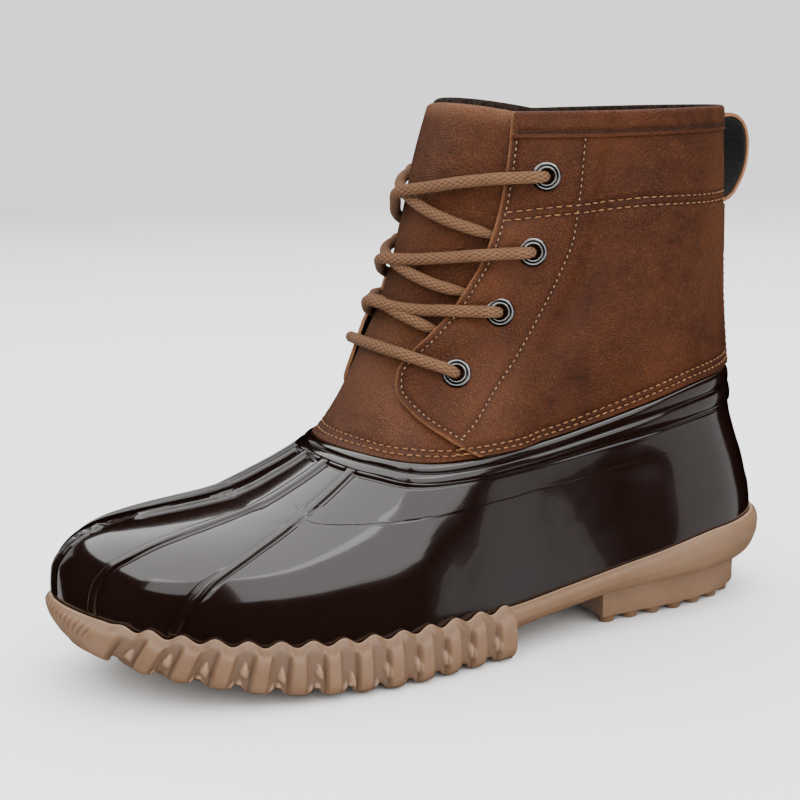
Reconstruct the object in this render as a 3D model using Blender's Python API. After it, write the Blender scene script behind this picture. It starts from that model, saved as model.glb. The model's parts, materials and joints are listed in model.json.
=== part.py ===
"""A left duck boot: rubber shell on a lugged sole, laced leather shaft, tongue, eyelets and laces.

Metres, +Z up. The toe points to -Y, the outer (little toe) side is +X, and the boot stands on z = 0.
Every upper piece is cut from one surface, last_point, which gives a horizontal ring at each height.
"""

import math

import bmesh
import bpy
import numpy as np

# Driving dimensions of the foot form
LAST_LENGTH = 0.290  # toe to heel over the rubber shell
BALL_WIDTH = 0.103  # across the shell at the ball of the foot
SHAFT_WIDTH = 0.092  # across the leather shaft
COLLAR_HEIGHT = 0.198  # floor to the top edge of the collar
SHELL_GIRTH_HEIGHT = 0.036  # height at which the shell is widest
TOE_SWING = 0.007  # how far the toe leans to the inner side
VAMP_TOP = 0.062  # below this the section is the foot's, above it the leg's takes over
ANKLE_HEIGHT = 0.115
ARCH_POWER = 2.3  # how square the foot's cross section is
SIDE_TUCK = 0.06  # share by which the shell narrows towards the sole

# Walls and clearances
GAP = 0.0003
LAP_GAP = 0.0006  # between curved walls that lie on each other
FLAP_GAP = 0.0009  # between the laced flap and the tongue
TRAY_GAP = 0.0008  # between the shell and the sole's rim
SHELL_WALL = 0.0025
LEATHER = 0.0018
INSOLE_THICKNESS = 0.0030
STITCHED_OVERLAP = 0.009  # how far the leather laps over the shell's top edge

# Shell relief
BAND_WIDTH = 0.014  # raised band under the leather, at the sides and back
BAND_FRONT = 0.55  # share of that width at the throat
BAND_GROWTH = 1.3  # angle round the ring over which it widens
BAND_PROUD = 0.0010
RIB_WIDTH = 0.0032
RIB_PROUD = 0.0013
STEP_WIDTH = 0.0007  # width of the slope of a moulded step

# Shaft relief
COLLAR_BAND = 0.0095
COLLAR_PROUD = 0.0008
BACKSTAY_WIDTH = 0.022
BACKSTAY_PROUD = 0.0008
BACKSTAY_TOP = 0.160
TONGUE_HEIGHT = 0.2045
TONGUE_ROUND = 0.010  # how far its top edge falls towards its sides
LEATHER_IN = -LEATHER + GAP + LAP_GAP  # inner face of leather that lies on the shell
FLAP_IN = LEATHER_IN + LEATHER + FLAP_GAP  # inner face of the flap where it lies on the tongue
TONGUE_CLEAR = 0.04  # angle kept between the tongue's edge and the start of the step behind it
TONGUE_STEP = 0.15  # angle over which the shaft steps in behind the tongue

# Sole
RIM_HEIGHT = 0.0335  # top of the sole's rim at the heel
RIM_PROUD = 0.0019
LUG_PROUD = 0.0024  # rope bars beyond the rim
HEEL_SEAT = 0.0240  # height of the footbed at the heel
TOE_SPRING = 0.0220
TOE_TUCK = 0.0065  # how far the sole curls under the toe
TOE_CURL = 0.104  # distance from the toe tip over which that curl dies out
RAND_UNDERSIDE = 0.0165  # height of the sole's underside at the heel, above the heel block
RAND_FLARE = 0.0012
BAR_COUNT = 12
BUMPER_LENGTH = 0.0445  # smooth part round the toe, on each side of the tip
BUMPER_COLUMNS = 9
REAR_COLUMNS = 18
REAR_CROWDING = 1.35  # above 1, the rear columns crowd towards the heel's round end
LUG_STEP = 0.0008  # width of the step from the last lug to the smooth rand
LUG_END = 0.535  # share of the last's length, from the toe, where the tread lugs stop
SCALLOP = 0.0013
LUG_NOTCH = 0.0030  # how far the tread lifts between two lugs at the sole's edge
BAR_LEAN = 0.017  # how far a bar's foot would lie ahead of its top, at the toe tip
LEAN_END = 0.105  # distance from the toe tip at which the bars stand upright
HEEL_BREAST = 0.703  # share of the last's length, from the toe, of the heel block's front face
HEEL_INSET = 0.0065
STUD_RADIUS = 0.0034
STUD_HEIGHT = 0.0028
STUD_PITCH = 0.0105
STUD_SIDES = 8
HEEL_PAD = (0.026, 0.036)  # width and length of the flat pad inside the studs

# Lacing
EYELET_RADIUS = 0.0060
EYELET_HOLE = 0.0030
EYELET_PROUD = 0.0013
EYELET_SIDES = 12
BARREL_WALL = 0.0005
LACE_RADIUS = 0.0022
LACE_SIDES = 7
LACE_START = 0.11  # angle by which a run starts under the far flap's edge
CLIMB_START = 0.17  # angle before the near flap's edge at which a run begins to climb onto it
CLIMB_LENGTH = 0.12
BAR_RISE = 0.008  # how far the straight bottom bar climbs over the instep

# Pull loop
LOOP_WIDTH = 0.020
LOOP_THICKNESS = 0.0024
LOOP_TOP = 0.0065  # how far below the collar's edge it starts
LOOP_DROP = 0.030
LOOP_REACH = 0.0130  # how far it stands out behind the shaft

# Rings of the last. Height is a share of COLLAR_HEIGHT, front and back are shares of LAST_LENGTH,
# and width is a share of SHAFT_WIDTH, used above the ankle.
RINGS = (
    # height, front, back, width
    (0.030, -0.478, 0.474, 1.00),
    (0.110, -0.492, 0.490, 1.00),
    (0.182, -0.500, 0.497, 1.00),
    (0.222, -0.4975, 0.494, 1.00),
    (0.247, -0.488, 0.489, 1.00),
    (0.270, -0.471, 0.485, 1.02),
    (0.291, -0.438, 0.481, 1.04),
    (0.322, -0.276, 0.473, 1.05),
    (0.356, -0.212, 0.465, 1.05),
    (0.383, -0.174, 0.459, 1.05),
    (0.402, -0.152, 0.456, 1.04),
    (0.440, -0.122, 0.450, 1.02),
    (0.520, -0.096, 0.441, 0.98),
    (0.650, -0.054, 0.434, 0.96),
    (0.783, -0.022, 0.431, 0.97),
    (0.894, -0.001, 0.429, 0.99),
    (1.000, 0.024, 0.424, 1.00),
    (1.060, 0.040, 0.421, 1.00),
)

# Plan of the foot. Station is a share of the length from the toe, the others are shares of half
# the ball width, to the outer and the inner side.
PLAN = (
    # station, outer, inner
    (0.000, 0.000, 0.000),
    (0.030, 0.440, 0.430),
    (0.100, 0.770, 0.740),
    (0.200, 0.940, 0.930),
    (0.280, 0.990, 1.000),
    (0.360, 1.000, 0.960),
    (0.480, 0.910, 0.800),
    (0.600, 0.790, 0.700),
    (0.720, 0.715, 0.670),
    (0.820, 0.690, 0.665),
    (0.900, 0.600, 0.590),
    (0.960, 0.420, 0.410),
    (1.000, 0.000, 0.000),
)

# Line where the leather ends on the shell: station along the foot from its middle, as a share of
# LAST_LENGTH, and height as a share of COLLAR_HEIGHT.
TOPLINE = (
    # station, height
    (-0.152, 0.404),
    (-0.101, 0.394),
    (-0.043, 0.388),
    (0.025, 0.393),
    (0.100, 0.405),
    (0.176, 0.426),
    (0.251, 0.450),
    (0.341, 0.474),
    (0.460, 0.486),
)

# Front edge of the laced flap, in the same shares, from its tip on the shell up to the collar.
FLAP_EDGE = (
    # height, station
    (0.391, -0.006),
    (0.420, -0.038),
    (0.462, -0.068),
    (0.494, -0.076),
    (0.529, -0.070),
    (0.611, -0.031),
    (0.675, -0.001),
    (0.783, 0.036),
    (0.850, 0.049),
    (1.000, 0.065),
)

# Side edge of the tongue under the flap, as an angle round the ring from its front.
TONGUE_EDGE = (
    # height, angle
    (0.380, 1.24),
    (0.440, 1.12),
    (0.540, 1.06),
    (0.650, 1.14),
    (0.750, 1.22),
    (1.030, 1.24),
)

# Eyelets from the top down: station and height shares as above. The lace run that ends at an
# eyelet leaves the other flap's edge at run_start and crosses the middle at run_middle.
EYELETS = (
    # station, height, run_start, run_middle
    (0.096, 0.889, 0.775, 0.860),
    (0.078, 0.754, 0.676, 0.735),
    (0.042, 0.645, 0.606, 0.650),
    (-0.013, 0.535, 0.0, 0.0),
)

# Centre lines of the raised ribs on the shell, as angles round the ring, at shares of the way from
# the sole's rim to the band.
RIBS = (
    # share, centre, middle, outer
    (0.00, 0.00, 0.34, 0.66),
    (0.25, 0.00, 0.32, 0.79),
    (0.50, 0.00, 0.34, 0.83),
    (0.75, 0.00, 0.38, 0.72),
    (1.00, 0.00, 0.30, 0.53),
)

# Heights along the sole. Station is a share of the length from the toe.
FOOTBED = (
    # station, share of HEEL_SEAT
    (0.00, 1.16),
    (0.06, 0.99),
    (0.13, 0.80),
    (0.22, 0.60),
    (0.35, 0.46),
    (0.47, 0.45),
    (0.55, 0.54),
    (0.62, 0.66),
    (0.70, 0.79),
    (0.80, 0.90),
    (0.90, 0.97),
    (1.00, 1.00),
)
RIM = (
    # station, share of RIM_HEIGHT
    (0.000, 0.99),
    (0.067, 0.86),
    (0.130, 0.76),
    (0.200, 0.67),
    (0.304, 0.595),
    (0.404, 0.57),
    (0.535, 0.57),
    (0.632, 0.65),
    (0.761, 0.81),
    (0.880, 0.97),
    (1.000, 1.00),
)
TREAD = (
    # station, share of TOE_SPRING
    (0.000, 0.82),
    (0.060, 0.60),
    (0.130, 0.39),
    (0.230, 0.15),
    (0.330, 0.03),
    (0.380, 0.00),
    (0.560, 0.00),
)
ARCH = (
    # station, share of RAND_UNDERSIDE
    (0.540, 0.56),
    (0.620, 0.72),
    (0.700, 0.88),
    (0.800, 0.97),
    (1.000, 1.00),
)

# Side of the sole from its rim down: depth as a share from rim to underside, bar as a share of
# LUG_PROUD, lean as a share of BAR_LEAN, and the smooth rand's swell as a share of RAND_FLARE.
LUG_ROWS = (
    # depth, bar, lean, swell
    (0.00, 0.00, 0.00, 0.0),
    (0.09, 0.10, 0.05, 0.6),
    (0.22, 0.60, 0.20, 0.9),
    (0.48, 1.00, 0.48, 0.8),
    (0.78, 0.75, 0.82, -0.8),
    (1.00, -0.25, 1.00, -3.0),
)

# One pitch of the rope bars.
BAR_SHAPE = (
    # place in the pitch, height
    (0.14, 0.0),
    (0.40, 1.0),
    (0.72, 1.0),
    (0.95, 0.0),
)

# Rows and columns of the walls, as shares of their height and of their width.
SHELL_ROWS = (0.0, 0.05, 0.17, 0.32, 0.49, 0.67, 0.84, 1.0)
SHELL_SIDE = (0.08, 0.17, 0.26, 0.35, 0.44, 0.55, 0.67, 0.79, 0.885, 0.955)
SHAFT_ROWS = (0.0, 0.045, 0.09, 0.14, 0.21, 0.31, 0.44, 0.58, 0.74)
FLAP_COLUMNS = (0, 0.16, 0.34, 0.52, 0.70, 0.86, 1.0)
BACK_COLUMNS = (0, 0.19, 0.38, 0.56, 0.72, 0.87)
TONGUE_ROWS = (0.0, 0.045, 0.09, 0.14, 0.22, 0.32, 0.45, 0.60, 0.78, 1.0)
TONGUE_COLUMNS = (0.13, 0.27, 0.41, 0.55, 0.68, 0.80, 0.91, 1.0)


def smooth_curve(rows, column=1):
    """A curve through a table's rows that never overshoots them, as a function of the first column."""
    x = np.array([row[0] for row in rows], float)
    y = np.array([row[column] for row in rows], float)
    step = np.diff(x)
    rise = np.diff(y) / step
    slope = np.zeros(len(x))
    for i in range(1, len(x) - 1):
        if rise[i - 1] * rise[i] > 0:
            before = 2 * step[i] + step[i - 1]
            after = step[i] + 2 * step[i - 1]
            slope[i] = (before + after) / (before / rise[i - 1] + after / rise[i])
    slope[0] = rise[0]
    slope[-1] = rise[-1]

    def value(at):
        at = np.asarray(at, float)
        i = np.clip(np.searchsorted(x, at) - 1, 0, len(x) - 2)
        t = np.clip((at - x[i]) / step[i], 0, 1)
        inside = (
            y[i] * (1 + 2 * t) * (1 - t) ** 2
            + slope[i] * step[i] * t * (1 - t) ** 2
            + y[i + 1] * t**2 * (3 - 2 * t)
            + slope[i + 1] * step[i] * t**2 * (t - 1)
        )
        return inside + np.where(at < x[0], slope[0] * (at - x[0]), 0)

    return value


def ease(t):
    """0 below 0, 1 above 1, smooth between."""
    t = np.clip(t, 0, 1)
    return t * t * (3 - 2 * t)


front_share = smooth_curve(RINGS, 1)
back_share = smooth_curve(RINGS, 2)
width_share = smooth_curve(RINGS, 3)
outer_plan = smooth_curve([(row[0], row[1] ** 2) for row in PLAN])
inner_plan = smooth_curve([(row[0], row[2] ** 2) for row in PLAN])
topline_share = smooth_curve(TOPLINE)
flap_share = smooth_curve(FLAP_EDGE)
tongue_angle = smooth_curve(TONGUE_EDGE)
footbed_share = smooth_curve(FOOTBED)
rim_share = smooth_curve(RIM)
tread_share = smooth_curve(TREAD)
arch_share = smooth_curve(ARCH)
rib_curves = [smooth_curve(RIBS, column) for column in (1, 2, 3)]

TOE = -LAST_LENGTH / 2
VAMP_HEIGHTS = np.linspace(SHELL_GIRTH_HEIGHT, 1.06 * COLLAR_HEIGHT, 500)
VAMP_FRONTS = np.maximum.accumulate(front_share(VAMP_HEIGHTS / COLLAR_HEIGHT) * LAST_LENGTH)


def ring_ends(z):
    """Front and back of the ring at a height."""
    share = z / COLLAR_HEIGHT
    return front_share(share) * LAST_LENGTH, back_share(share) * LAST_LENGTH


def foot_half_width(station, outer):
    square = np.where(outer, outer_plan(station), inner_plan(station))
    return BALL_WIDTH / 2 * np.sqrt(np.maximum(square, 0))


def last_point(angle, z):
    """The point of the last at an angle round the ring, 0 at the front and positive to the outer side."""
    angle = np.asarray(angle, float)
    z = np.asarray(z, float) + 0 * angle
    front, back = ring_ends(z)
    y = (front + back) / 2 - (back - front) / 2 * np.cos(angle)
    outer = np.sin(angle) >= 0
    above = z > SHELL_GIRTH_HEIGHT
    crest = np.interp(y, VAMP_FRONTS, VAMP_HEIGHTS)
    rise = (z - SHELL_GIRTH_HEIGHT) / np.maximum(crest - SHELL_GIRTH_HEIGHT, 1e-6)
    arch = np.where(above, np.sqrt(np.maximum(1 - np.clip(rise, 0, 1) ** ARCH_POWER, 0)), 1)
    toe = np.where(above, TOE, front)
    station = np.clip((y - toe) / (back - toe), 0, 1)
    tuck = 1 - SIDE_TUCK * np.clip(1 - z / SHELL_GIRTH_HEIGHT, 0, 1) ** 2
    foot = foot_half_width(station, outer) * arch * tuck
    leg = width_share(z / COLLAR_HEIGHT) * SHAFT_WIDTH / 2 * np.abs(np.sin(angle)) ** 0.92
    share = ease((z - VAMP_TOP) / (ANKLE_HEIGHT - VAMP_TOP))
    half = (1 - share) * foot + share * leg
    swing = -TOE_SWING * np.clip(1 - (y - TOE) / (0.35 * LAST_LENGTH), 0, 1) ** 2
    x = np.where(outer, half, -half) + swing * (1 - share)
    return np.stack([x, y, z], -1)


def last_normal(angle, z):
    """Unit vector out of the last."""
    turn = 2e-3
    lift = 4e-4
    round_ring = last_point(angle + turn, z) - last_point(angle - turn, z)
    up = last_point(angle, z + lift) - last_point(angle, z - lift)
    out = np.cross(round_ring, up)
    return out / np.maximum(np.linalg.norm(out, axis=-1, keepdims=True), 1e-12)


def proud(angle, z, offset):
    """A point that stands an offset outside the last."""
    return last_point(angle, z) + last_normal(angle, z) * np.asarray(offset)[..., None]


def station_of(angle, z):
    return last_point(angle, z)[..., 1] / LAST_LENGTH


def topline_heights(angle):
    """Height of the leather's lower edge, found from the stations of TOPLINE."""
    z = np.full(len(angle), 0.4 * COLLAR_HEIGHT)
    for _ in range(40):
        z = 0.5 * z + 0.5 * topline_share(station_of(angle, z)) * COLLAR_HEIGHT
    return z


RING_ANGLES = np.linspace(0, math.pi, 721)
TOPLINE_HEIGHTS = topline_heights(RING_ANGLES)


def topline(angle):
    """Height of the leather's lower edge at an angle round the boot."""
    return np.interp(np.abs(angle), RING_ANGLES, TOPLINE_HEIGHTS)


def angle_at(station, z):
    """Angle round the outer half of a ring where it passes a station."""
    front, back = ring_ends(z)
    return np.arccos(np.clip(((front + back) / 2 - station * LAST_LENGTH) / ((back - front) / 2), -1, 1))


def flap_angle(z):
    return angle_at(flap_share(z / COLLAR_HEIGHT), z)


def along(angle, start, distance):
    """Height reached by going a distance up the surface from a start height, for arrays of angles."""
    heights = np.linspace(0.006, 1.06 * COLLAR_HEIGHT, 300)
    lines = last_point(angle[:, None], heights[None, :])
    steps = np.linalg.norm(np.diff(lines, axis=1), axis=2)
    result = np.empty(len(angle))
    for i, step in enumerate(steps):
        run = np.concatenate([[0], np.cumsum(step)])
        result[i] = np.interp(np.interp(start[i], heights, run) + distance[i], run, heights)
    return result


def material(name, colour, roughness, metallic=0.0):
    made = bpy.data.materials.new(name)
    made.use_nodes = True
    shader = made.node_tree.nodes["Principled BSDF"]
    shader.inputs["Base Color"].default_value = (*colour, 1)
    shader.inputs["Roughness"].default_value = roughness
    shader.inputs["Metallic"].default_value = metallic
    return made


def add_object(name, vertices, faces, finish):
    """A smooth-shaded object from points and faces, with its faces turned outwards."""
    mesh = bpy.data.meshes.new(name)
    mesh.from_pydata([tuple(map(float, v)) for v in vertices], [], faces)
    work = bmesh.new()
    work.from_mesh(mesh)
    bmesh.ops.recalc_face_normals(work, faces=work.faces)
    work.to_mesh(mesh)
    work.free()
    mesh.shade_smooth()
    mesh.set_sharp_from_angle(angle=math.radians(35))
    mesh.materials.append(finish)
    made = bpy.data.objects.new(name, mesh)
    bpy.context.scene.collection.objects.link(made)
    return made


def wall(name, outer, inner, closed, finish):
    """A wall between two matching grids of points (rows up, columns round), closed at its edges."""
    rows, columns = outer.shape[:2]
    vertices = np.concatenate([outer.reshape(-1, 3), inner.reshape(-1, 3)])

    def at(side, row, column):
        return side * rows * columns + row * columns + column % columns

    spans = columns if closed else columns - 1
    faces = []
    for column in range(spans):
        for row in range(rows - 1):
            for side in (0, 1):
                faces.append([at(side, row + r, column + c) for r, c in ((0, 0), (0, 1), (1, 1), (1, 0))])
        for row in (0, rows - 1):
            faces.append([at(0, row, column), at(0, row, column + 1), at(1, row, column + 1), at(1, row, column)])
    if not closed:
        for column in (0, columns - 1):
            for row in range(rows - 1):
                faces.append([at(0, row, column), at(0, row + 1, column), at(1, row + 1, column), at(1, row, column)])
    return add_object(name, vertices, faces, finish)


def ring_solid(name, rings, finish, last_across=None):
    """A solid from a stack of rings with as many columns, column 0 at the toe and the middle one at
    the heel. Each end is closed by strips from side to side; last_across gives the points inside the
    last ring's strips."""
    count = len(rings[0])
    vertices = [point for ring in rings for point in ring]
    faces = []
    for r in range(len(rings) - 1):
        for c in range(count):
            d = (c + 1) % count
            faces.append([r * count + c, r * count + d, (r + 1) * count + d, (r + 1) * count + c])
    for first, across in ((0, None), ((len(rings) - 1) * count, last_across)):
        lines = [[first]]
        for k in range(1, count // 2):
            inside = across(k, vertices[first + k], vertices[first + count - k]) if across else []
            start = len(vertices)
            vertices.extend(inside)
            lines.append([first + k, *range(start, start + len(inside)), first + count - k])
        lines.append([first + count // 2])
        for one, two in zip(lines, lines[1:]):
            if len(one) == 1:
                faces += [[one[0], two[i], two[i + 1]] for i in range(len(two) - 1)]
            elif len(two) == 1:
                faces += [[one[i], one[i + 1], two[0]] for i in range(len(one) - 1)]
            else:
                faces += [[one[i], one[i + 1], two[i + 1], two[i]] for i in range(len(one) - 1)]
    return add_object(name, vertices, faces, finish)


def tube(name, points, radius, sides, finish):
    """A round cord along points, with flat ends."""
    points = np.asarray(points)
    forward = np.gradient(points, axis=0)
    forward /= np.linalg.norm(forward, axis=1, keepdims=True)
    side = np.cross(forward[0], (0, 0, 1))
    rings = []
    for point, ahead in zip(points, forward):
        side = side - ahead * (side @ ahead)
        side = side / np.linalg.norm(side)
        other = np.cross(ahead, side)
        turns = [2 * math.pi * k / sides for k in range(sides)]
        rings.append([point + radius * (math.cos(t) * side + math.sin(t) * other) for t in turns])
    vertices = [v for ring in rings for v in ring]
    faces = []
    for r in range(len(rings) - 1):
        for k in range(sides):
            j = (k + 1) % sides
            faces.append([r * sides + k, r * sides + j, (r + 1) * sides + j, (r + 1) * sides + k])
    faces.append(list(range(sides)))
    faces.append([(len(rings) - 1) * sides + k for k in range(sides)])
    return add_object(name, vertices, faces, finish)


def as_helper(helper):
    helper.hide_render = True
    helper.display_type = "WIRE"
    return helper


def combine(target, helpers, operation):
    """Joins helpers to a target, or cuts them from it, with one Boolean on their collection."""
    group = bpy.data.collections.new(target.name + "_" + operation.lower())
    for helper in helpers:
        group.objects.link(as_helper(helper))
    cut = target.modifiers.new(group.name, "BOOLEAN")
    cut.operation = operation
    cut.operand_type = "COLLECTION"
    cut.collection = group
    cut.solver = "EXACT"


def prism(name, outline, low, high, finish):
    """An upright block from an outline in plan."""
    count = len(outline)
    vertices = [(x, y, low) for x, y in outline] + [(x, y, high) for x, y in outline]
    faces = [[k, (k + 1) % count, count + (k + 1) % count, count + k] for k in range(count)]
    faces += [list(range(count)), list(range(count, 2 * count))]
    return add_object(name, vertices, faces, finish)


# The sole's plan follows the shell at the rim, measured along each side from the toe tip.


def rim_height(y):
    return rim_share(y / LAST_LENGTH + 0.5) * RIM_HEIGHT


def footbed_height(y):
    return footbed_share(y / LAST_LENGTH + 0.5) * HEEL_SEAT


def tread_height(y):
    return tread_share(y / LAST_LENGTH + 0.5) * TOE_SPRING


def rand_underside(y):
    return arch_share(y / LAST_LENGTH + 0.5) * RAND_UNDERSIDE


class SoleEdge:
    """One side of the sole's outline in plan, from toe tip to heel tip, by distance along it."""

    def __init__(self, side):
        angles = side * np.linspace(0, math.pi, 1200)
        z = np.full(len(angles), 0.8 * RIM_HEIGHT)
        for _ in range(12):
            z = rim_height(last_point(angles, z)[..., 1]) + SCALLOP
        self.points = last_point(angles, z)[:, :2]
        step = np.linalg.norm(np.diff(self.points, axis=0), axis=1)
        self.run = np.concatenate([[0], np.cumsum(step)])
        tangent = np.gradient(self.points, axis=0)
        tangent /= np.linalg.norm(tangent, axis=1, keepdims=True)
        self.outward = side * np.stack([tangent[:, 1], -tangent[:, 0]], -1)
        self.outward[0] = (0, -1)
        self.outward[-1] = (0, 1)
        self.length = self.run[-1]
        self.lug_end = float(np.interp(LUG_END, self.points[:, 1] / LAST_LENGTH + 0.5, self.run))

    def at(self, distance):
        x = np.interp(distance, self.run, self.points[:, 0])
        y = np.interp(distance, self.run, self.points[:, 1])
        out = np.array([np.interp(distance, self.run, self.outward[:, k]) for k in (0, 1)])
        return np.array([x, y]), out / np.linalg.norm(out)


def sole_columns(edge):
    """Columns of one side of the sole: distance along the edge, bar height, and 1 in the lugged part."""
    columns = [(BUMPER_LENGTH * k / BUMPER_COLUMNS, 0.0, 1) for k in range(1, BUMPER_COLUMNS)]
    pitch = (edge.lug_end - BUMPER_LENGTH) / BAR_COUNT
    for bar in range(BAR_COUNT):
        columns += [(BUMPER_LENGTH + (bar + place) * pitch, height, 1) for place, height in BAR_SHAPE]
    columns.append((edge.lug_end, 0.6, 1))
    start = edge.lug_end + LUG_STEP
    for k in range(REAR_COLUMNS):
        share = 1 - (1 - k / REAR_COLUMNS) ** REAR_CROWDING
        columns.append((start + (edge.length - start) * share, 0.0, 0))
    return columns


def sole_side_point(edge, distance, bar, lugged, row):
    """A point of the sole's side, on one row of LUG_ROWS."""
    depth, bar_share, lean_share, swell = row
    forward = np.clip(1 - distance / LEAN_END, 0, 1)
    lean = -BAR_LEAN * lean_share * forward * lugged * ease(distance / BUMPER_LENGTH - 0.1)
    place, out = edge.at(max(distance + lean, 0.0))
    toe_part = np.clip(1 - distance / TOE_CURL, 0, 1)
    y = place[1]
    top = rim_height(y) + (SCALLOP * (2 * bar - 1) if lugged and distance > BUMPER_LENGTH else 0)
    low = tread_height(y) if lugged else rand_underside(y)
    if lugged and distance > BUMPER_LENGTH:
        low += LUG_NOTCH * (1 - bar)
    offset = TRAY_GAP + RIM_PROUD
    if lugged:
        offset += LUG_PROUD * bar_share * bar * ease(distance / BUMPER_LENGTH)
        offset += LUG_PROUD * 0.35 * bar_share * (1 - toe_part * 0.5)
    else:
        offset += RAND_FLARE * swell
    offset -= TOE_TUCK * toe_part * depth**2
    place = place + out * offset
    return np.array([place[0], place[1], top + (low - top) * depth])


def sole_ring(sides, pick):
    """A full ring, toe tip first, outer side to the heel tip, and back along the inner side."""
    outer, inner = sides
    ring = [pick(outer[0], 0.0, 0.0, 1)]
    ring += [pick(outer[0], *column) for column in outer[1]]
    ring.append(pick(outer[0], outer[0].length, 0.0, 0))
    ring += [pick(inner[0], *column) for column in reversed(inner[1])]
    return ring


def outsole(finish):
    edges = [SoleEdge(1), SoleEdge(-1)]
    sides = [(edge, sole_columns(edge)) for edge in edges]

    def tray(offset, height):
        def pick(edge, distance, bar, lugged):
            place, out = edge.at(distance)
            place = place + out * offset
            return np.array([place[0], place[1], height(edge, distance, bar, lugged, place[1])])

        return pick

    def rim_top(edge, distance, bar, lugged, y):
        return sole_side_point(edge, distance, bar, lugged, LUG_ROWS[0])[2]

    rings = [sole_ring(sides, tray(TRAY_GAP, lambda e, d, b, l, y: footbed_height(y)))]
    rings.append(sole_ring(sides, tray(TRAY_GAP, rim_top)))
    for row in LUG_ROWS:
        rings.append(sole_ring(sides, lambda e, d, b, l, row=row: sole_side_point(e, d, b, l, row)))

    lugged_columns = sum(column[2] for column in sides[0][1])

    def across(column, outer, inner):
        """Points under the sole, level across the tread inside its notched edge."""
        line = [outer * (1 - share) + inner * share for share in (0.18, 0.5, 0.82)]
        if column <= lugged_columns:
            for point in line:
                point[2] = tread_height(point[1])
        return line

    sole = ring_solid("outsole", rings, finish, across)
    combine(sole, heel_pieces(edges, finish), "UNION")
    return sole


def heel_line(edges, inset, breast, count):
    """Points round the heel at an inset from the sole's edge, from the breast's outer end to its inner end."""
    line = []
    for edge, order in zip(edges, (1, -1)):
        side = np.array([edge.at(d)[0] - edge.at(d)[1] * inset for d in np.linspace(0, edge.length, 600)])
        line += list(side[side[:, 1] > breast][::order])
    line = np.array(line)
    run = np.concatenate([[0], np.cumsum(np.linalg.norm(np.diff(line, axis=0), axis=1))])
    wanted = np.linspace(0, run[-1], count)
    return [(np.interp(d, run, line[:, 0]), np.interp(d, run, line[:, 1])) for d in wanted], run[-1]


def heel_pieces(edges, finish):
    """The heel block, its flat pad and the round studs round its edge, joined to the sole."""
    breast = (HEEL_BREAST - 0.5) * LAST_LENGTH
    overlap = 0.001
    outline, _ = heel_line(edges, HEEL_INSET, breast, 21)
    pieces = [prism("heel_block", outline, STUD_HEIGHT, RAND_UNDERSIDE + overlap, finish)]
    pad_x, pad_y = HEEL_PAD
    middle = (breast + LAST_LENGTH / 2 - HEEL_INSET) / 2
    pad = [(x * pad_x / 2, middle + y * pad_y / 2) for x, y in ((-1, -1), (1, -1), (1, 1), (-1, 1))]
    pieces.append(prism("heel_pad", pad, 0, STUD_HEIGHT + overlap, finish))
    inset = HEEL_INSET + STUD_RADIUS + overlap
    _, length = heel_line(edges, inset, breast + STUD_RADIUS + overlap, 2)
    count = int(round(length / STUD_PITCH)) + 1
    centres, _ = heel_line(edges, inset, breast + STUD_RADIUS + overlap, count)
    for k, (x, y) in enumerate(centres):
        turns = [2 * math.pi * t / STUD_SIDES for t in range(STUD_SIDES)]
        round_stud = [(x + STUD_RADIUS * math.cos(t), y + STUD_RADIUS * math.sin(t)) for t in turns]
        pieces.append(prism(f"stud_{k}", round_stud, 0, STUD_HEIGHT + overlap, finish))
    return pieces


def insole(finish):
    half = np.linspace(0, math.pi, 26)
    angles = np.concatenate([half, -half[-2:0:-1]])
    z = np.full(len(angles), HEEL_SEAT)
    for _ in range(12):
        z = footbed_height(last_point(angles, z)[..., 1])
    rim = last_point(angles, z + INSOLE_THICKNESS + GAP)
    out = last_normal(angles, z + INSOLE_THICKNESS + GAP) * (1, 1, 0)
    out /= np.linalg.norm(out, axis=1, keepdims=True)
    rim = rim - out * (SHELL_WALL + 3 * LAP_GAP)
    low = rim.copy()
    low[:, 2] = footbed_height(rim[:, 1]) + LAP_GAP
    high = low + (0, 0, INSOLE_THICKNESS)
    return ring_solid("insole", [list(low), list(high)], finish)


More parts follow.
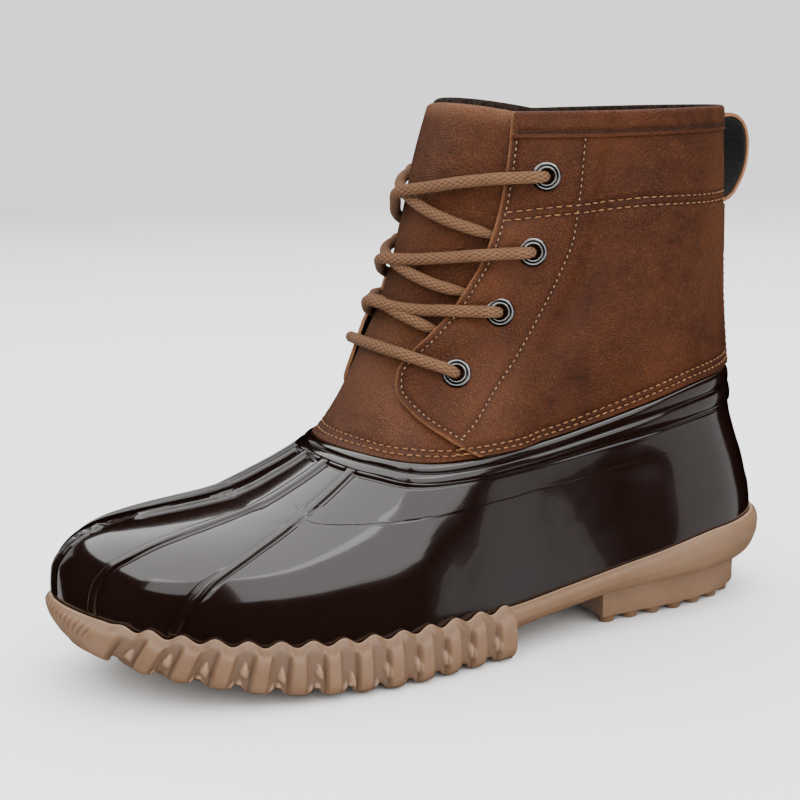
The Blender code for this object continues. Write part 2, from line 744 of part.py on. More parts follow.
def shell(finish):
    """The rubber shell: five ribs fan over the toe, and a raised band runs under the leather's edge."""
    rows_out, rows_in = [], []

    def columns(share, scale):
        """Signed angles and rib heights of every column, given the metres of arc per radian."""
        centres = [float(curve(share)) for curve in rib_curves]
        foot = RIB_WIDTH / 2
        crown = foot - STEP_WIDTH
        found = [(crown / scale[0], 1.0), (foot / scale[0], 0.0)]
        found += [(centres[1] * s, 0.0) for s in (0.28, 0.52, 0.76)]
        for k in (1, 2):
            wide = foot / scale[k]
            narrow = crown / scale[k]
            found += [(centres[k] - wide, 0.0), (centres[k] - narrow, 1.0)]
            found += [(centres[k] + narrow, 1.0), (centres[k] + wide, 0.0)]
            if k == 1:
                found += [(centres[1] + (centres[2] - centres[1]) * s, 0.0) for s in (0.36, 0.66)]
        first = centres[2] + foot / scale[2]
        rest = [first + (math.pi - first) * place for place in SHELL_SIDE]
        found += [(a, 0.0) for a in rest]
        ring = found + [(math.pi, 0.0)] + [(-a, h) for a, h in reversed(found)]
        return np.array([a for a, _ in ring]), np.array([h for _, h in ring])

    def scales(share, z_of):
        """Metres of arc per radian across each rib."""
        values = []
        for curve in rib_curves:
            centre = float(curve(share))
            pair = np.array([centre - 0.03, centre + 0.03])
            ends = last_point(pair, z_of(pair))
            values.append(np.linalg.norm(ends[1] - ends[0]) / 0.06)
        return values

    def add_row(share, z_of, offset, rib):
        angles, ribs = columns(share, scales(share, z_of))
        z = z_of(angles)
        lift = offset + rib * RIB_PROUD * ribs
        rows_out.append(proud(angles, z, lift))
        rows_in.append(proud(angles, z, np.full(len(angles), min(offset, 0.0) - SHELL_WALL)))

    def sole_line(height):
        def z_of(angles):
            z = np.full(len(angles), HEEL_SEAT)
            for _ in range(16):
                z = 0.4 * z + 0.6 * height(last_point(angles, z)[..., 1])
            return z

        return z_of

    floor_line = sole_line(lambda y: footbed_height(y) + LAP_GAP)
    rim_line = sole_line(lambda y: rim_height(y) + SCALLOP)

    def below_line(distance, band=0.0):
        def z_of(angles):
            wide = BAND_FRONT + (1 - BAND_FRONT) * ease(np.abs(angles) / BAND_GROWTH)
            return along(angles, topline(angles), -distance - band * wide)

        return z_of

    band_foot = below_line(STEP_WIDTH, BAND_WIDTH)
    add_row(0.0, floor_line, 0.0, 0.0)
    for share in SHELL_ROWS:
        def z_of(angles, share=share):
            return (1 - share) * rim_line(angles) + share * band_foot(angles)

        add_row(share, z_of, 0.0, float(share > 0))
    add_row(1.0, below_line(0.0, BAND_WIDTH), BAND_PROUD, 0.0)
    add_row(1.0, below_line(2 * STEP_WIDTH), BAND_PROUD, 0.0)
    add_row(1.0, below_line(STEP_WIDTH), -LEATHER, 0.0)
    add_row(1.0, below_line(-STITCHED_OVERLAP), -LEATHER, 0.0)
    return wall("shell", np.array(rows_out), np.array(rows_in), True, finish)


def shaft_offset(angle, z):
    """Inner face of the shaft: out over the tongue, back in behind it."""
    past = (np.abs(angle) - tongue_angle(z / COLLAR_HEIGHT) - TONGUE_CLEAR) / TONGUE_STEP
    return FLAP_IN + (LEATHER_IN - FLAP_IN) * ease(past)


def shaft(finish):
    """The leather shaft, from the outer flap's edge round the back to the inner one."""
    band_low = COLLAR_HEIGHT - COLLAR_BAND
    stay = BACKSTAY_WIDTH / 2
    rows_out, rows_in = [], []

    def row(z_of, band):
        edge = 0.8
        for _ in range(30):
            edge = 0.5 * edge + 0.5 * float(flap_angle(z_of(np.array([edge])))[0])
        near_back = last_point(np.array([math.pi - 0.1]), z_of(np.array([math.pi])))[0]
        scale = abs(near_back[0]) / 0.1
        end = math.pi - (stay + STEP_WIDTH) / scale
        step = float(tongue_angle(z_of(np.array([1.1]))[0] / COLLAR_HEIGHT)) + TONGUE_CLEAR
        behind = step + TONGUE_STEP
        half = [edge + (step - edge) * s for s in FLAP_COLUMNS]
        half += [behind + (end - behind) * s for s in BACK_COLUMNS] + [end, math.pi - stay / scale]
        stays = [0.0] * (len(half) - 1) + [1.0]
        angles = np.array(half + [math.pi] + [-a for a in reversed(half)])
        raised = np.array(stays + [1.0] + stays[::-1])
        z = z_of(angles)
        inner = shaft_offset(angles, z)
        on_stay = raised * BACKSTAY_PROUD * (z < BACKSTAY_TOP)
        rows_out.append(proud(angles, z, inner + LEATHER + np.maximum(on_stay, band * COLLAR_PROUD)))
        rows_in.append(proud(angles, z, inner))

    for share in SHAFT_ROWS:
        row(lambda a, s=share: topline(a) + s * (band_low - STEP_WIDTH - topline(a)), 0.0)
    row(lambda a: np.full(len(a), band_low - STEP_WIDTH), 0.0)
    row(lambda a: np.full(len(a), band_low), 1.0)
    row(lambda a: np.full(len(a), COLLAR_HEIGHT), 1.0)
    made = wall("shaft", np.array(rows_out), np.array(rows_in), False, finish)
    cutters = []
    for index, side, place, out, across, up in eyelet_frames():
        hole = EYELET_HOLE + BARREL_WALL + GAP
        turns = [2 * math.pi * t / EYELET_SIDES for t in range(EYELET_SIDES)]
        low = [place - 0.006 * out + hole * (math.cos(t) * across + math.sin(t) * up) for t in turns]
        high = [point + 0.012 * out for point in low]
        count = EYELET_SIDES
        faces = [[k, (k + 1) % count, count + (k + 1) % count, count + k] for k in range(count)]
        faces += [list(range(count)), list(range(count, 2 * count))]
        cutters.append(add_object(f"hole_{index}_{side}", low + high, faces, finish))
    combine(made, cutters, "DIFFERENCE")
    return made


def tongue(finish):
    """Vamp leather and tongue in one: it laps over the shell's edge and rises behind the laces."""
    half = np.array(TONGUE_COLUMNS)
    spread = np.concatenate([-half[::-1], [0], half])
    rows_out, rows_in = [], []
    for share in TONGUE_ROWS:
        edge = 1.0
        for _ in range(30):
            foot = float(topline(np.array([edge]))[0])
            edge = 0.5 * edge + 0.5 * float(tongue_angle((foot + share * (TONGUE_HEIGHT - foot)) / COLLAR_HEIGHT))
        angles = edge * spread
        line = topline(angles)
        z = line + share * (TONGUE_HEIGHT - TONGUE_ROUND * (angles / edge) ** 2 - line)
        rows_out.append(proud(angles, z, np.full(len(angles), LEATHER_IN + LEATHER)))
        rows_in.append(proud(angles, z, np.full(len(angles), LEATHER_IN)))
    return wall("tongue", np.array(rows_out), np.array(rows_in), False, finish)


def eyelet_frames():
    """Place and directions of each eyelet on the flap's outer face."""
    frames = []
    for index, row in enumerate(EYELETS, 1):
        z = row[1] * COLLAR_HEIGHT
        for name, sign in (("outer", 1), ("inner", -1)):
            angle = sign * float(angle_at(row[0], z))
            out = last_normal(np.array(angle), np.array(z))
            offset = float(shaft_offset(angle, z)) + LEATHER
            place = last_point(np.array(angle), np.array(z)) + out * offset
            across = np.cross((0, 0, 1), out)
            across = across / np.linalg.norm(across)
            frames.append((index, name, place, out, across, np.cross(out, across)))
    return frames


def eyelets(finish):
    """Turned rings: a rounded flange on the leather and a barrel through it."""
    sag = 0.0005  # the flange's rim clears the curved leather
    profile = (
        # radius, height above the leather
        (EYELET_HOLE, -LEATHER),
        (EYELET_HOLE + BARREL_WALL, -LEATHER),
        (EYELET_HOLE + BARREL_WALL, sag),
        (EYELET_RADIUS, sag),
        (EYELET_RADIUS * 0.86, sag + EYELET_PROUD * 0.8),
        (EYELET_HOLE + BARREL_WALL, sag + EYELET_PROUD),
    )
    for index, side, place, out, across, up in eyelet_frames():
        vertices = []
        for turn in np.linspace(0, 2 * math.pi, EYELET_SIDES, endpoint=False):
            spoke = math.cos(turn) * across + math.sin(turn) * up
            vertices += [place + r * spoke + h * out for r, h in profile]
        count = len(profile)
        faces = []
        for k in range(EYELET_SIDES):
            j = (k + 1) % EYELET_SIDES
            for p in range(count):
                q = (p + 1) % count
                faces.append([k * count + p, k * count + q, j * count + q, j * count + p])
        add_object(f"eyelet_{side}_{index}", vertices, faces, finish)


def lace_offset(angle, z, eyelet):
    """Centre line of a lace above the last: on the tongue, then over the flap, then over the eyelet."""
    on_tongue = LEATHER_IN + LEATHER + GAP + LACE_RADIUS
    on_flap = FLAP_IN + LEATHER + GAP + LACE_RADIUS
    on_eyelet = on_flap + EYELET_PROUD + 0.0005 + GAP
    edge = flap_angle(z)
    a = np.abs(angle)
    climb = ease((a - edge + CLIMB_START) / CLIMB_LENGTH)
    reach = ease((a - edge) / np.maximum(eyelet - edge - 0.05, 0.05))
    return on_tongue + (on_flap - on_tongue) * climb + (on_eyelet - on_flap) * reach


def lace_run(name, row, side, finish):
    """A run that leaves the far flap's edge low down, crosses the tongue and ends over its eyelet."""
    station, height, start, middle = row
    z_end, z_start, z_middle = (share * COLLAR_HEIGHT for share in (height, start, middle))
    end = float(angle_at(station, z_end))
    begin = float(flap_angle(z_start)) - LACE_START
    angles = np.linspace(-begin, end, 14)
    z = np.where(
        angles < 0,
        z_middle + (z_start - z_middle) * (-angles / begin),
        z_middle + (z_end - z_middle) * np.sin(np.clip(angles / end, 0, 1) * math.pi / 2),
    )
    offset = lace_offset(np.where(angles > 0, angles, 0), z, end)
    return tube(name, proud(side * angles, z, offset), LACE_RADIUS, LACE_SIDES, finish)


def laces(finish):
    for index, row in enumerate(EYELETS[:-1], 1):
        run = lace_run(f"lace_crossing_{index}", row, 1, finish)
        combine(run, [lace_run(f"lace_under_{index}", row, -1, finish)], "UNION")
    station, height = EYELETS[-1][:2]
    z = height * COLLAR_HEIGHT
    end = float(angle_at(station, z))
    angles = np.linspace(-end, end, 17)
    heights = z + BAR_RISE * (1 - (angles / end) ** 2)
    offset = lace_offset(angles, heights, end)
    tube("lace_bar", proud(angles, heights, offset), LACE_RADIUS, LACE_SIDES, finish)


def pull_loop(finish):
    """A strap folded outwards behind the collar and sewn down again below it."""
    top = COLLAR_HEIGHT - LOOP_TOP
    heights = np.linspace(top - LOOP_DROP, top, 9)
    back = float(ring_ends(heights)[1].max()) + LEATHER_IN + LEATHER + max(COLLAR_PROUD, BACKSTAY_PROUD)
    reach = LOOP_REACH - LOOP_THICKNESS
    route = (
        # distance behind the shaft, height below the collar
        (0.0, 0.0),
        (0.45 * reach, -0.015 * LOOP_DROP),
        (0.85 * reach, 0.09 * LOOP_DROP),
        (1.0 * reach, 0.27 * LOOP_DROP),
        (0.97 * reach, 0.50 * LOOP_DROP),
        (0.75 * reach, 0.73 * LOOP_DROP),
        (0.42 * reach, 0.91 * LOOP_DROP),
        (0.0, LOOP_DROP),
    )
    line = np.array([(back + GAP + d, top - h) for d, h in route])
    tangent = np.gradient(line, axis=0)
    tangent /= np.linalg.norm(tangent, axis=1, keepdims=True)
    out = np.stack([-tangent[:, 1], tangent[:, 0]], -1)
    outer = line + out * LOOP_THICKNESS
    outer[0, 0] = line[0, 0]
    outer[-1, 0] = line[-1, 0]
    grid_out = np.array([[(x * LOOP_WIDTH / 2, y, z) for x in (-1, 1)] for y, z in outer])
    grid_in = np.array([[(x * LOOP_WIDTH / 2, y, z) for x in (-1, 1)] for y, z in line])
    return wall("pull_loop", grid_out, grid_in, False, finish)


def build():
    for old in list(bpy.data.objects):
        bpy.data.objects.remove(old)
    gum = material("gum_rubber", (0.36, 0.20, 0.125), 0.55)
    dark = material("shell_rubber", (0.018, 0.010, 0.008), 0.18)
    brown = material("brown_leather", (0.16, 0.062, 0.030), 0.45)
    cord = material("lace_cord", (0.15, 0.075, 0.045), 0.8)
    gunmetal = material("gunmetal", (0.20, 0.20, 0.21), 0.3, 1.0)
    lining = material("insole_felt", (0.05, 0.03, 0.022), 0.95)
    outsole(gum)
    insole(lining)
    shell(dark)
    shaft(brown)
    tongue(brown)
    eyelets(gunmetal)
    laces(cord)
    pull_loop(brown)


build()
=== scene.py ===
import json
import math

import bmesh
import bpy
import numpy as np
from mathutils import Matrix, Quaternion, Vector
from mathutils.kdtree import KDTree

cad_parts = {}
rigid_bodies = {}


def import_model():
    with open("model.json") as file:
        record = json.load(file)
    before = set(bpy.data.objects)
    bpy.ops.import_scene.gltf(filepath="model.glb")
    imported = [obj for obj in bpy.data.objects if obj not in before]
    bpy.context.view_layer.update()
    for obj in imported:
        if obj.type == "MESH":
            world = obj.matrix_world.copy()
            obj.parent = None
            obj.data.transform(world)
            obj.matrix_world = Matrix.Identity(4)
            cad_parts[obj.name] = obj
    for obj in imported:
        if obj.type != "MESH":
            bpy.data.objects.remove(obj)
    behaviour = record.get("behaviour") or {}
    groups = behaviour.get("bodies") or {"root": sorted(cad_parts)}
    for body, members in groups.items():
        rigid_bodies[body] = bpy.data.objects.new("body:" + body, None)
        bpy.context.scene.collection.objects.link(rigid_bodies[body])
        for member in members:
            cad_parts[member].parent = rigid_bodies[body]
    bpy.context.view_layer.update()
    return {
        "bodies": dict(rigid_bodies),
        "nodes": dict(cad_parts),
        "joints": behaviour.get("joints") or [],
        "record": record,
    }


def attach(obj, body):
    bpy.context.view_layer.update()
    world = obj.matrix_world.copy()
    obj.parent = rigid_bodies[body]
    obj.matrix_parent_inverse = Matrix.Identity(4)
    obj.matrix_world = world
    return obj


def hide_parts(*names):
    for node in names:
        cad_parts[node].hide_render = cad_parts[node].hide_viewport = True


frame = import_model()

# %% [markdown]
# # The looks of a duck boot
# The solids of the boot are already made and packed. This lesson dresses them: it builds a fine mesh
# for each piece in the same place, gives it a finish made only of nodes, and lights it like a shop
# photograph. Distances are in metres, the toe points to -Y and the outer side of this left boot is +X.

MM = 0.001

# %% [markdown]
# ## Camera, lights and floor
# The camera stands at the outer side of the toe, a little above the boot, and is turned by a degree
# and a half, as in the photograph. The glossy shell shows its lights as grey panels, so the lights
# are large soft boxes placed where those panels appear. The white room and the paper light the boot
# too, but they don't show in reflections.

# %% Camera
AZIMUTH = math.radians(66.0)
ELEVATION = math.radians(11.33)
ROLL = math.radians(1.5)
DISTANCE = 0.600
TARGET = np.array((0.0, -0.01164, 0.0918))

back = np.array(
    (
        math.sin(AZIMUTH) * math.cos(ELEVATION),
        -math.cos(AZIMUTH) * math.cos(ELEVATION),
        math.sin(ELEVATION),
    )
)
level = np.array((math.cos(AZIMUTH), math.sin(AZIMUTH), 0.0))
upright = np.cross(back, level)
right = math.cos(ROLL) * level - math.sin(ROLL) * upright
top = math.sin(ROLL) * level + math.cos(ROLL) * upright
camera = bpy.data.objects.new("camera", bpy.data.cameras.new("camera"))
camera.data.lens = 71.35
camera.data.sensor_width = 36.0
axes = np.eye(4)
axes[:3] = np.stack([right, top, back, TARGET + back * DISTANCE], 1)
camera.matrix_world = Matrix(axes.tolist())
bpy.context.scene.collection.objects.link(camera)
bpy.context.scene.camera = camera


# %% Soft boxes, floor and room
def soft_box(name, azimuth, elevation, distance, size, radiance, roll=0.0):
    """An area light that faces the middle of the boot, from a side and a height in degrees."""
    a = math.radians(azimuth)
    e = math.radians(elevation)
    out = Vector((math.sin(a) * math.cos(e), -math.cos(a) * math.cos(e), math.sin(e)))
    light = bpy.data.objects.new(name, bpy.data.lights.new(name, "AREA"))
    light.data.shape = "RECTANGLE"
    light.data.size, light.data.size_y = size
    light.data.energy = 4 * size[0] * size[1] * radiance
    light.location = out * distance + Vector((0, 0, 0.08))
    turned = (-out).to_track_quat("-Z", "Y") @ Quaternion((0, 0, 1), math.radians(roll))
    light.rotation_euler = turned.to_euler()
    light.visible_camera = False
    bpy.context.scene.collection.objects.link(light)
    return light


# name, azimuth, elevation, distance, size, radiance, roll
soft_box("ceiling_box", 67, 90, 1.20, (2.9, 2.9), 2.5, -23)
soft_box("toe_box", 44, 25, 1.30, (0.66, 0.66), 1.4, -12)
soft_box("side_box", 100, 17, 1.40, (1.50, 1.52), 1.6)
soft_box("inner_strip", -62, -4, 1.50, (0.80, 1.50), 0.6)
soft_box("heel_card", 158, -12, 1.50, (1.30, 0.85), 0.5)


def plain_surface(name, colour, roughness):
    made = bpy.data.materials.new(name)
    made.use_nodes = True
    shader = made.node_tree.nodes["Principled BSDF"]
    shader.inputs["Base Color"].default_value = (*colour, 1)
    shader.inputs["Roughness"].default_value = roughness
    return made


def backdrop(name, half_width, front, back_wall, height, bend):
    """A floor that curves up into a wall, so that no horizon shows."""
    profile = [(front, 0.0), (back_wall - bend, 0.0)]
    for t in np.linspace(0.1, math.pi / 2, 14):
        profile.append((back_wall - bend + bend * math.sin(t), bend * (1 - math.cos(t))))
    profile.append((back_wall, height))
    away = -np.array((back[0], back[1])) / np.hypot(back[0], back[1])
    side = np.array((-away[1], away[0]))
    vertices = []
    for reach, up in profile:
        for sign in (-1, 1):
            x, y = away * reach + side * sign * half_width
            vertices.append((x, y, up - 0.0002))
    faces = [(2 * k, 2 * k + 2, 2 * k + 3, 2 * k + 1) for k in range(len(profile) - 1)]
    mesh = bpy.data.meshes.new(name)
    mesh.from_pydata(vertices, [], faces)
    mesh.shade_smooth()
    mesh.materials.append(plain_surface("pale_paper", (0.86, 0.86, 0.86), 0.9))
    made = bpy.data.objects.new(name, mesh)
    bpy.context.scene.collection.objects.link(made)
    made.visible_glossy = False
    return made


backdrop("paper_sweep", 4.0, -1.6, 3.0, 3.0, 0.8)
room = bpy.data.worlds.new("room")
room.use_nodes = True
room.node_tree.nodes["Background"].inputs["Color"].default_value = (1.0, 1.0, 1.0, 1)
room.node_tree.nodes["Background"].inputs["Strength"].default_value = 1.2
room.cycles_visibility.glossy = False
bpy.context.scene.world = room

# %% [markdown]
# ## The foot form
# A shoemaker pulls every piece over one wooden last, and so does this script. Rings at each height
# give the last's front, back and width, and a point on it is named by its angle round the ring and
# its height. Leather, rubber and laces then only need an offset from that surface, which keeps them
# clear of each other. The tables hold nearly the same shares as the solids do.

# %% Tables of the last
LAST_LENGTH = 0.290
BALL_WIDTH = 0.103
SHAFT_WIDTH = 0.092
COLLAR_HEIGHT = 0.198
GIRTH_HEIGHT = 0.036
TOE_SWING = 0.007
VAMP_TOP = 0.062
ANKLE_HEIGHT = 0.115
SIDE_TUCK = 0.06
ARCH_POWER = 2.3

RINGS = (
    # height, front, back, width
    (0.030, -0.478, 0.474, 1.00),
    (0.110, -0.492, 0.490, 1.00),
    (0.182, -0.500, 0.497, 1.00),
    (0.222, -0.4975, 0.494, 1.00),
    (0.247, -0.488, 0.489, 1.00),
    (0.270, -0.471, 0.485, 1.02),
    (0.291, -0.438, 0.481, 1.04),
    (0.322, -0.276, 0.473, 1.05),
    (0.356, -0.212, 0.465, 1.05),
    (0.383, -0.174, 0.459, 1.05),
    (0.402, -0.152, 0.456, 1.04),
    (0.440, -0.122, 0.450, 1.02),
    (0.520, -0.096, 0.441, 0.98),
    (0.650, -0.054, 0.434, 0.96),
    (0.783, -0.022, 0.431, 0.97),
    (0.894, -0.001, 0.429, 0.99),
    (1.000, 0.024, 0.424, 1.00),
    (1.060, 0.040, 0.421, 1.00),
)
PLAN = (
    # station, outer, inner
    (0.000, 0.000, 0.000),
    (0.030, 0.440, 0.430),
    (0.100, 0.770, 0.740),
    (0.200, 0.940, 0.930),
    (0.280, 0.990, 1.000),
    (0.360, 1.000, 0.960),
    (0.480, 0.910, 0.800),
    (0.600, 0.790, 0.700),
    (0.720, 0.715, 0.670),
    (0.820, 0.690, 0.665),
    (0.900, 0.600, 0.590),
    (0.960, 0.420, 0.410),
    (1.000, 0.000, 0.000),
)
TOPLINE = (
    # station, height
    (-0.152, 0.404),
    (-0.101, 0.394),
    (-0.043, 0.388),
    (0.025, 0.393),
    (0.100, 0.405),
    (0.176, 0.426),
    (0.251, 0.450),
    (0.341, 0.474),
    (0.460, 0.486),
)
FLAP_EDGE = (
    # height, station
    (0.391, -0.006),
    (0.420, -0.038),
    (0.462, -0.068),
    (0.494, -0.076),
    (0.529, -0.070),
    (0.611, -0.024),
    (0.675, 0.007),
    (0.783, 0.043),
    (0.850, 0.055),
    (1.000, 0.075),
)
TONGUE_EDGE = (
    # height, angle
    (0.380, 1.24),
    (0.440, 1.12),
    (0.540, 1.06),
    (0.650, 1.14),
    (0.750, 1.22),
    (1.030, 1.24),
)
EYELETS = (
    # station, height, run_start, run_middle
    (0.102, 0.886, 0.775, 0.848),
    (0.083, 0.752, 0.676, 0.724),
    (0.042, 0.645, 0.606, 0.650),
    (-0.013, 0.535, 0.0, 0.0),
)
RIB_FEET = (
    # share of the height of the panel, angle of the middle rib, angle of the outer rib
    (0.00, 0.330, 0.648),
    (0.10, 0.337, 0.670),
    (0.22, 0.350, 0.705),
    (0.34, 0.379, 0.748),
    (0.43, 0.406, 0.785),
    (0.52, 0.465, 0.825),
    (0.60, 0.525, 0.868),
    (1.00, 0.800, 1.080),
)
MIDDLE_RIB = (
    # place along the foot and to the outer side, in mm
    (-138.5, 16.4),
    (-134.6, 18.3),
    (-129.0, 20.0),
    (-120.0, 21.0),
    (-108.0, 20.4),
    (-90.0, 18.4),
    (-66.0, 16.2),
    (-45.0, 14.2),
    (-20.0, 12.5),
)
OUTER_RIB = (
    (-115.1, 37.5),
    (-112.6, 39.2),
    (-110.1, 40.5),
    (-105.9, 41.5),
    (-98.9, 41.2),
    (-90.7, 39.9),
    (-82.4, 37.8),
    (-69.1, 34.2),
    (-56.6, 30.8),
    (-46.0, 27.8),
    (-20.0, 21.0),
)
HEEL_SEAT = 0.0240
FOOTBED = (
    # station, share of HEEL_SEAT
    (0.00, 1.16),
    (0.06, 0.99),
    (0.13, 0.80),
    (0.22, 0.60),
    (0.35, 0.46),
    (0.47, 0.45),
    (0.55, 0.54),
    (0.62, 0.66),
    (0.70, 0.79),
    (0.80, 0.90),
    (0.90, 0.97),
    (1.00, 1.00),
)
RIM_HEIGHT = 0.0335
RIM = (
    # station, share of RIM_HEIGHT
    (0.000, 0.99),
    (0.067, 0.86),
    (0.130, 0.76),
    (0.200, 0.67),
    (0.304, 0.595),
    (0.404, 0.57),
    (0.535, 0.57),
    (0.632, 0.65),
    (0.761, 0.81),
    (0.880, 0.97),
    (1.000, 1.00),
)


# %% Curves through the tables
def between_ends(t, width, start, end, first_slope, last_slope):
    """A cubic over a width, from a start to an end value with given slopes. t runs from 0 to 1."""
    return (
        start * (1 + 2 * t) * (1 - t) ** 2
        + first_slope * width * t * (1 - t) ** 2
        + end * t**2 * (3 - 2 * t)
        + last_slope * width * t**2 * (t - 1)
    )


def smooth_curve(rows, column=1):
    """A curve through a table's rows that never overshoots them."""
    x = np.array([row[0] for row in rows], float)
    y = np.array([row[column] for row in rows], float)
    step = np.diff(x)
    rise = np.diff(y) / step
    slope = np.zeros(len(x))
    for i in range(1, len(x) - 1):
        if rise[i - 1] * rise[i] > 0:
            before = 2 * step[i] + step[i - 1]
            after = step[i] + 2 * step[i - 1]
            slope[i] = (before + after) / (before / rise[i - 1] + after / rise[i])
    slope[0] = rise[0]
    slope[-1] = rise[-1]

    def value(at):
        at = np.asarray(at, float)
        i = np.clip(np.searchsorted(x, at) - 1, 0, len(x) - 2)
        t = np.clip((at - x[i]) / step[i], 0, 1)
        inside = between_ends(t, step[i], y[i], y[i + 1], slope[i], slope[i + 1])
        return inside + np.where(at < x[0], slope[0] * (at - x[0]), 0)

    return value


def height_line(rows, whole):
    """Heights along the foot, from a table of stations and shares of a whole height."""
    share = smooth_curve(rows)
    return lambda y: share(y / LAST_LENGTH + 0.5) * whole


def run_along(points):
    """Distance of each point from the first, along the line through them."""
    return np.concatenate([[0], np.cumsum(np.linalg.norm(np.diff(points, axis=0), axis=1))])


def ease(t):
    """0 below 0, 1 above 1, smooth between."""
    t = np.clip(t, 0, 1)
    return t * t * (3 - 2 * t)


def bump(distance, width):
    """1 at distance 0, falling smoothly to nothing at about twice the width."""
    return np.exp(-((distance / width) ** 2))


front_share = smooth_curve(RINGS, 1)
back_share = smooth_curve(RINGS, 2)
width_share = smooth_curve(RINGS, 3)
outer_plan = smooth_curve([(row[0], row[1] ** 2) for row in PLAN])
inner_plan = smooth_curve([(row[0], row[2] ** 2) for row in PLAN])
topline_share = smooth_curve(TOPLINE)
flap_share = smooth_curve(FLAP_EDGE)
tongue_angle = smooth_curve(TONGUE_EDGE)
footbed_height = height_line(FOOTBED, HEEL_SEAT)
rim_height = height_line(RIM, RIM_HEIGHT)
rib_lines = [smooth_curve(MIDDLE_RIB), smooth_curve(OUTER_RIB)]
rib_turns = [smooth_curve(RIB_FEET, column) for column in (1, 2)]

TOE = -LAST_LENGTH / 2
VAMP_HEIGHTS = np.linspace(GIRTH_HEIGHT, 1.06 * COLLAR_HEIGHT, 500)
VAMP_FRONTS = np.maximum.accumulate(front_share(VAMP_HEIGHTS / COLLAR_HEIGHT) * LAST_LENGTH)


# %% Points on the last
def ring_ends(z):
    """Where the ring at a height starts in front and ends behind."""
    share = z / COLLAR_HEIGHT
    return front_share(share) * LAST_LENGTH, back_share(share) * LAST_LENGTH


def last_point(angle, z):
    """The point of the last at an angle round the ring, 0 at the front and positive to the outer side."""
    angle = np.asarray(angle, float)
    z = np.asarray(z, float) + 0 * angle
    front, rear = ring_ends(z)
    y = (front + rear) / 2 - (rear - front) / 2 * np.cos(angle)
    outer = np.sin(angle) >= 0
    above = z > GIRTH_HEIGHT
    crest = np.interp(y, VAMP_FRONTS, VAMP_HEIGHTS)
    rise = (z - GIRTH_HEIGHT) / np.maximum(crest - GIRTH_HEIGHT, 1e-6)
    arch = np.where(above, np.sqrt(np.maximum(1 - np.clip(rise, 0, 1) ** ARCH_POWER, 0)), 1)
    toe = np.where(above, TOE, front)
    station = np.clip((y - toe) / (rear - toe), 0, 1)
    tuck = 1 - SIDE_TUCK * np.clip(1 - z / GIRTH_HEIGHT, 0, 1) ** 2
    plan = np.sqrt(np.maximum(np.where(outer, outer_plan(station), inner_plan(station)), 0))
    foot = BALL_WIDTH / 2 * plan * arch * tuck
    leg = width_share(z / COLLAR_HEIGHT) * SHAFT_WIDTH / 2 * np.abs(np.sin(angle)) ** 0.92
    share = ease((z - VAMP_TOP) / (ANKLE_HEIGHT - VAMP_TOP))
    half = (1 - share) * foot + share * leg
    swing = -TOE_SWING * np.clip(1 - (y - TOE) / (0.35 * LAST_LENGTH), 0, 1) ** 2
    x = np.where(outer, half, -half) + swing * (1 - share)
    return np.stack([x, y, z], -1)


def last_normal(angle, z):
    """Unit vector out of the last."""
    turn = 2e-3
    lift = 4e-4
    round_ring = last_point(angle + turn, z) - last_point(angle - turn, z)
    up = last_point(angle, z + lift) - last_point(angle, z - lift)
    out = np.cross(round_ring, up)
    return out / np.maximum(np.linalg.norm(out, axis=-1, keepdims=True), 1e-12)


def proud(angle, z, offset):
    """Points that stand an offset outside the last."""
    return last_point(angle, z) + last_normal(angle, z) * np.asarray(offset)[..., None]


def topline_heights(angle):
    """Heights at which the last meets the leather's lower edge, which is given by station."""
    z = np.full(len(angle), 0.4 * COLLAR_HEIGHT)
    for _ in range(40):
        z = 0.5 * z + 0.5 * topline_share(last_point(angle, z)[..., 1] / LAST_LENGTH) * COLLAR_HEIGHT
    return z


RING_ANGLES = np.linspace(0, math.pi, 721)
TOPLINE_HEIGHTS = topline_heights(RING_ANGLES)


def folded(angle):
    """The same place on the ring as an angle from 0 at the front to pi at the back."""
    return np.abs((np.asarray(angle) + math.pi) % (2 * math.pi) - math.pi)


def topline(angle):
    """Height of the leather's lower edge on the shell."""
    return np.interp(folded(angle), RING_ANGLES, TOPLINE_HEIGHTS)


def angle_at(station, z):
    """Angle of the place at a height that lies at a station along the foot."""
    front, rear = ring_ends(z)
    return np.arccos(np.clip(((front + rear) / 2 - station * LAST_LENGTH) / ((rear - front) / 2), -1, 1))


def flap_angle(z):
    """Angle of the laced flap's front edge at a height."""
    return angle_at(flap_share(z / COLLAR_HEIGHT), z)


CLIMB_HEIGHTS = np.linspace(0.006, 1.06 * COLLAR_HEIGHT, 400)
CLIMB_RUNS = np.stack([run_along(last_point(np.full(400, a), CLIMB_HEIGHTS)) for a in RING_ANGLES])


def along(angle, start, distance):
    """Height reached by going a distance up the surface from a start height."""
    angle, start, distance = np.broadcast_arrays(folded(angle), start, distance)
    index = np.rint(angle / math.pi * 720).astype(int)
    result = np.empty(angle.shape)
    for k in np.unique(index):
        here = index == k
        run = CLIMB_RUNS[k]
        result[here] = np.interp(np.interp(start[here], CLIMB_HEIGHTS, run) + distance[here], run, CLIMB_HEIGHTS)
    return result


print("shell is", round(1000 * float(last_point(1.2, 0.036)[0] - last_point(-1.2, 0.036)[0])), "mm wide near the ball")

# %% [markdown]
# ## Meshes from grids
# Nearly every piece of the boot is a wall: an outer and an inner grid of points with a strip round
# the edge. Writing one careful builder for that saves work, and the strip can have its own finish,
# which is how the raw tan edge of cut leather gets onto every piece.


# %% Mesh builders
def quads(grid):
    """Four-cornered faces between the rows and columns of a grid of point numbers."""
    corners = (grid[:-1, :-1], grid[:-1, 1:], grid[1:, 1:], grid[1:, :-1])
    return np.stack(corners, -1).reshape(-1, 4)


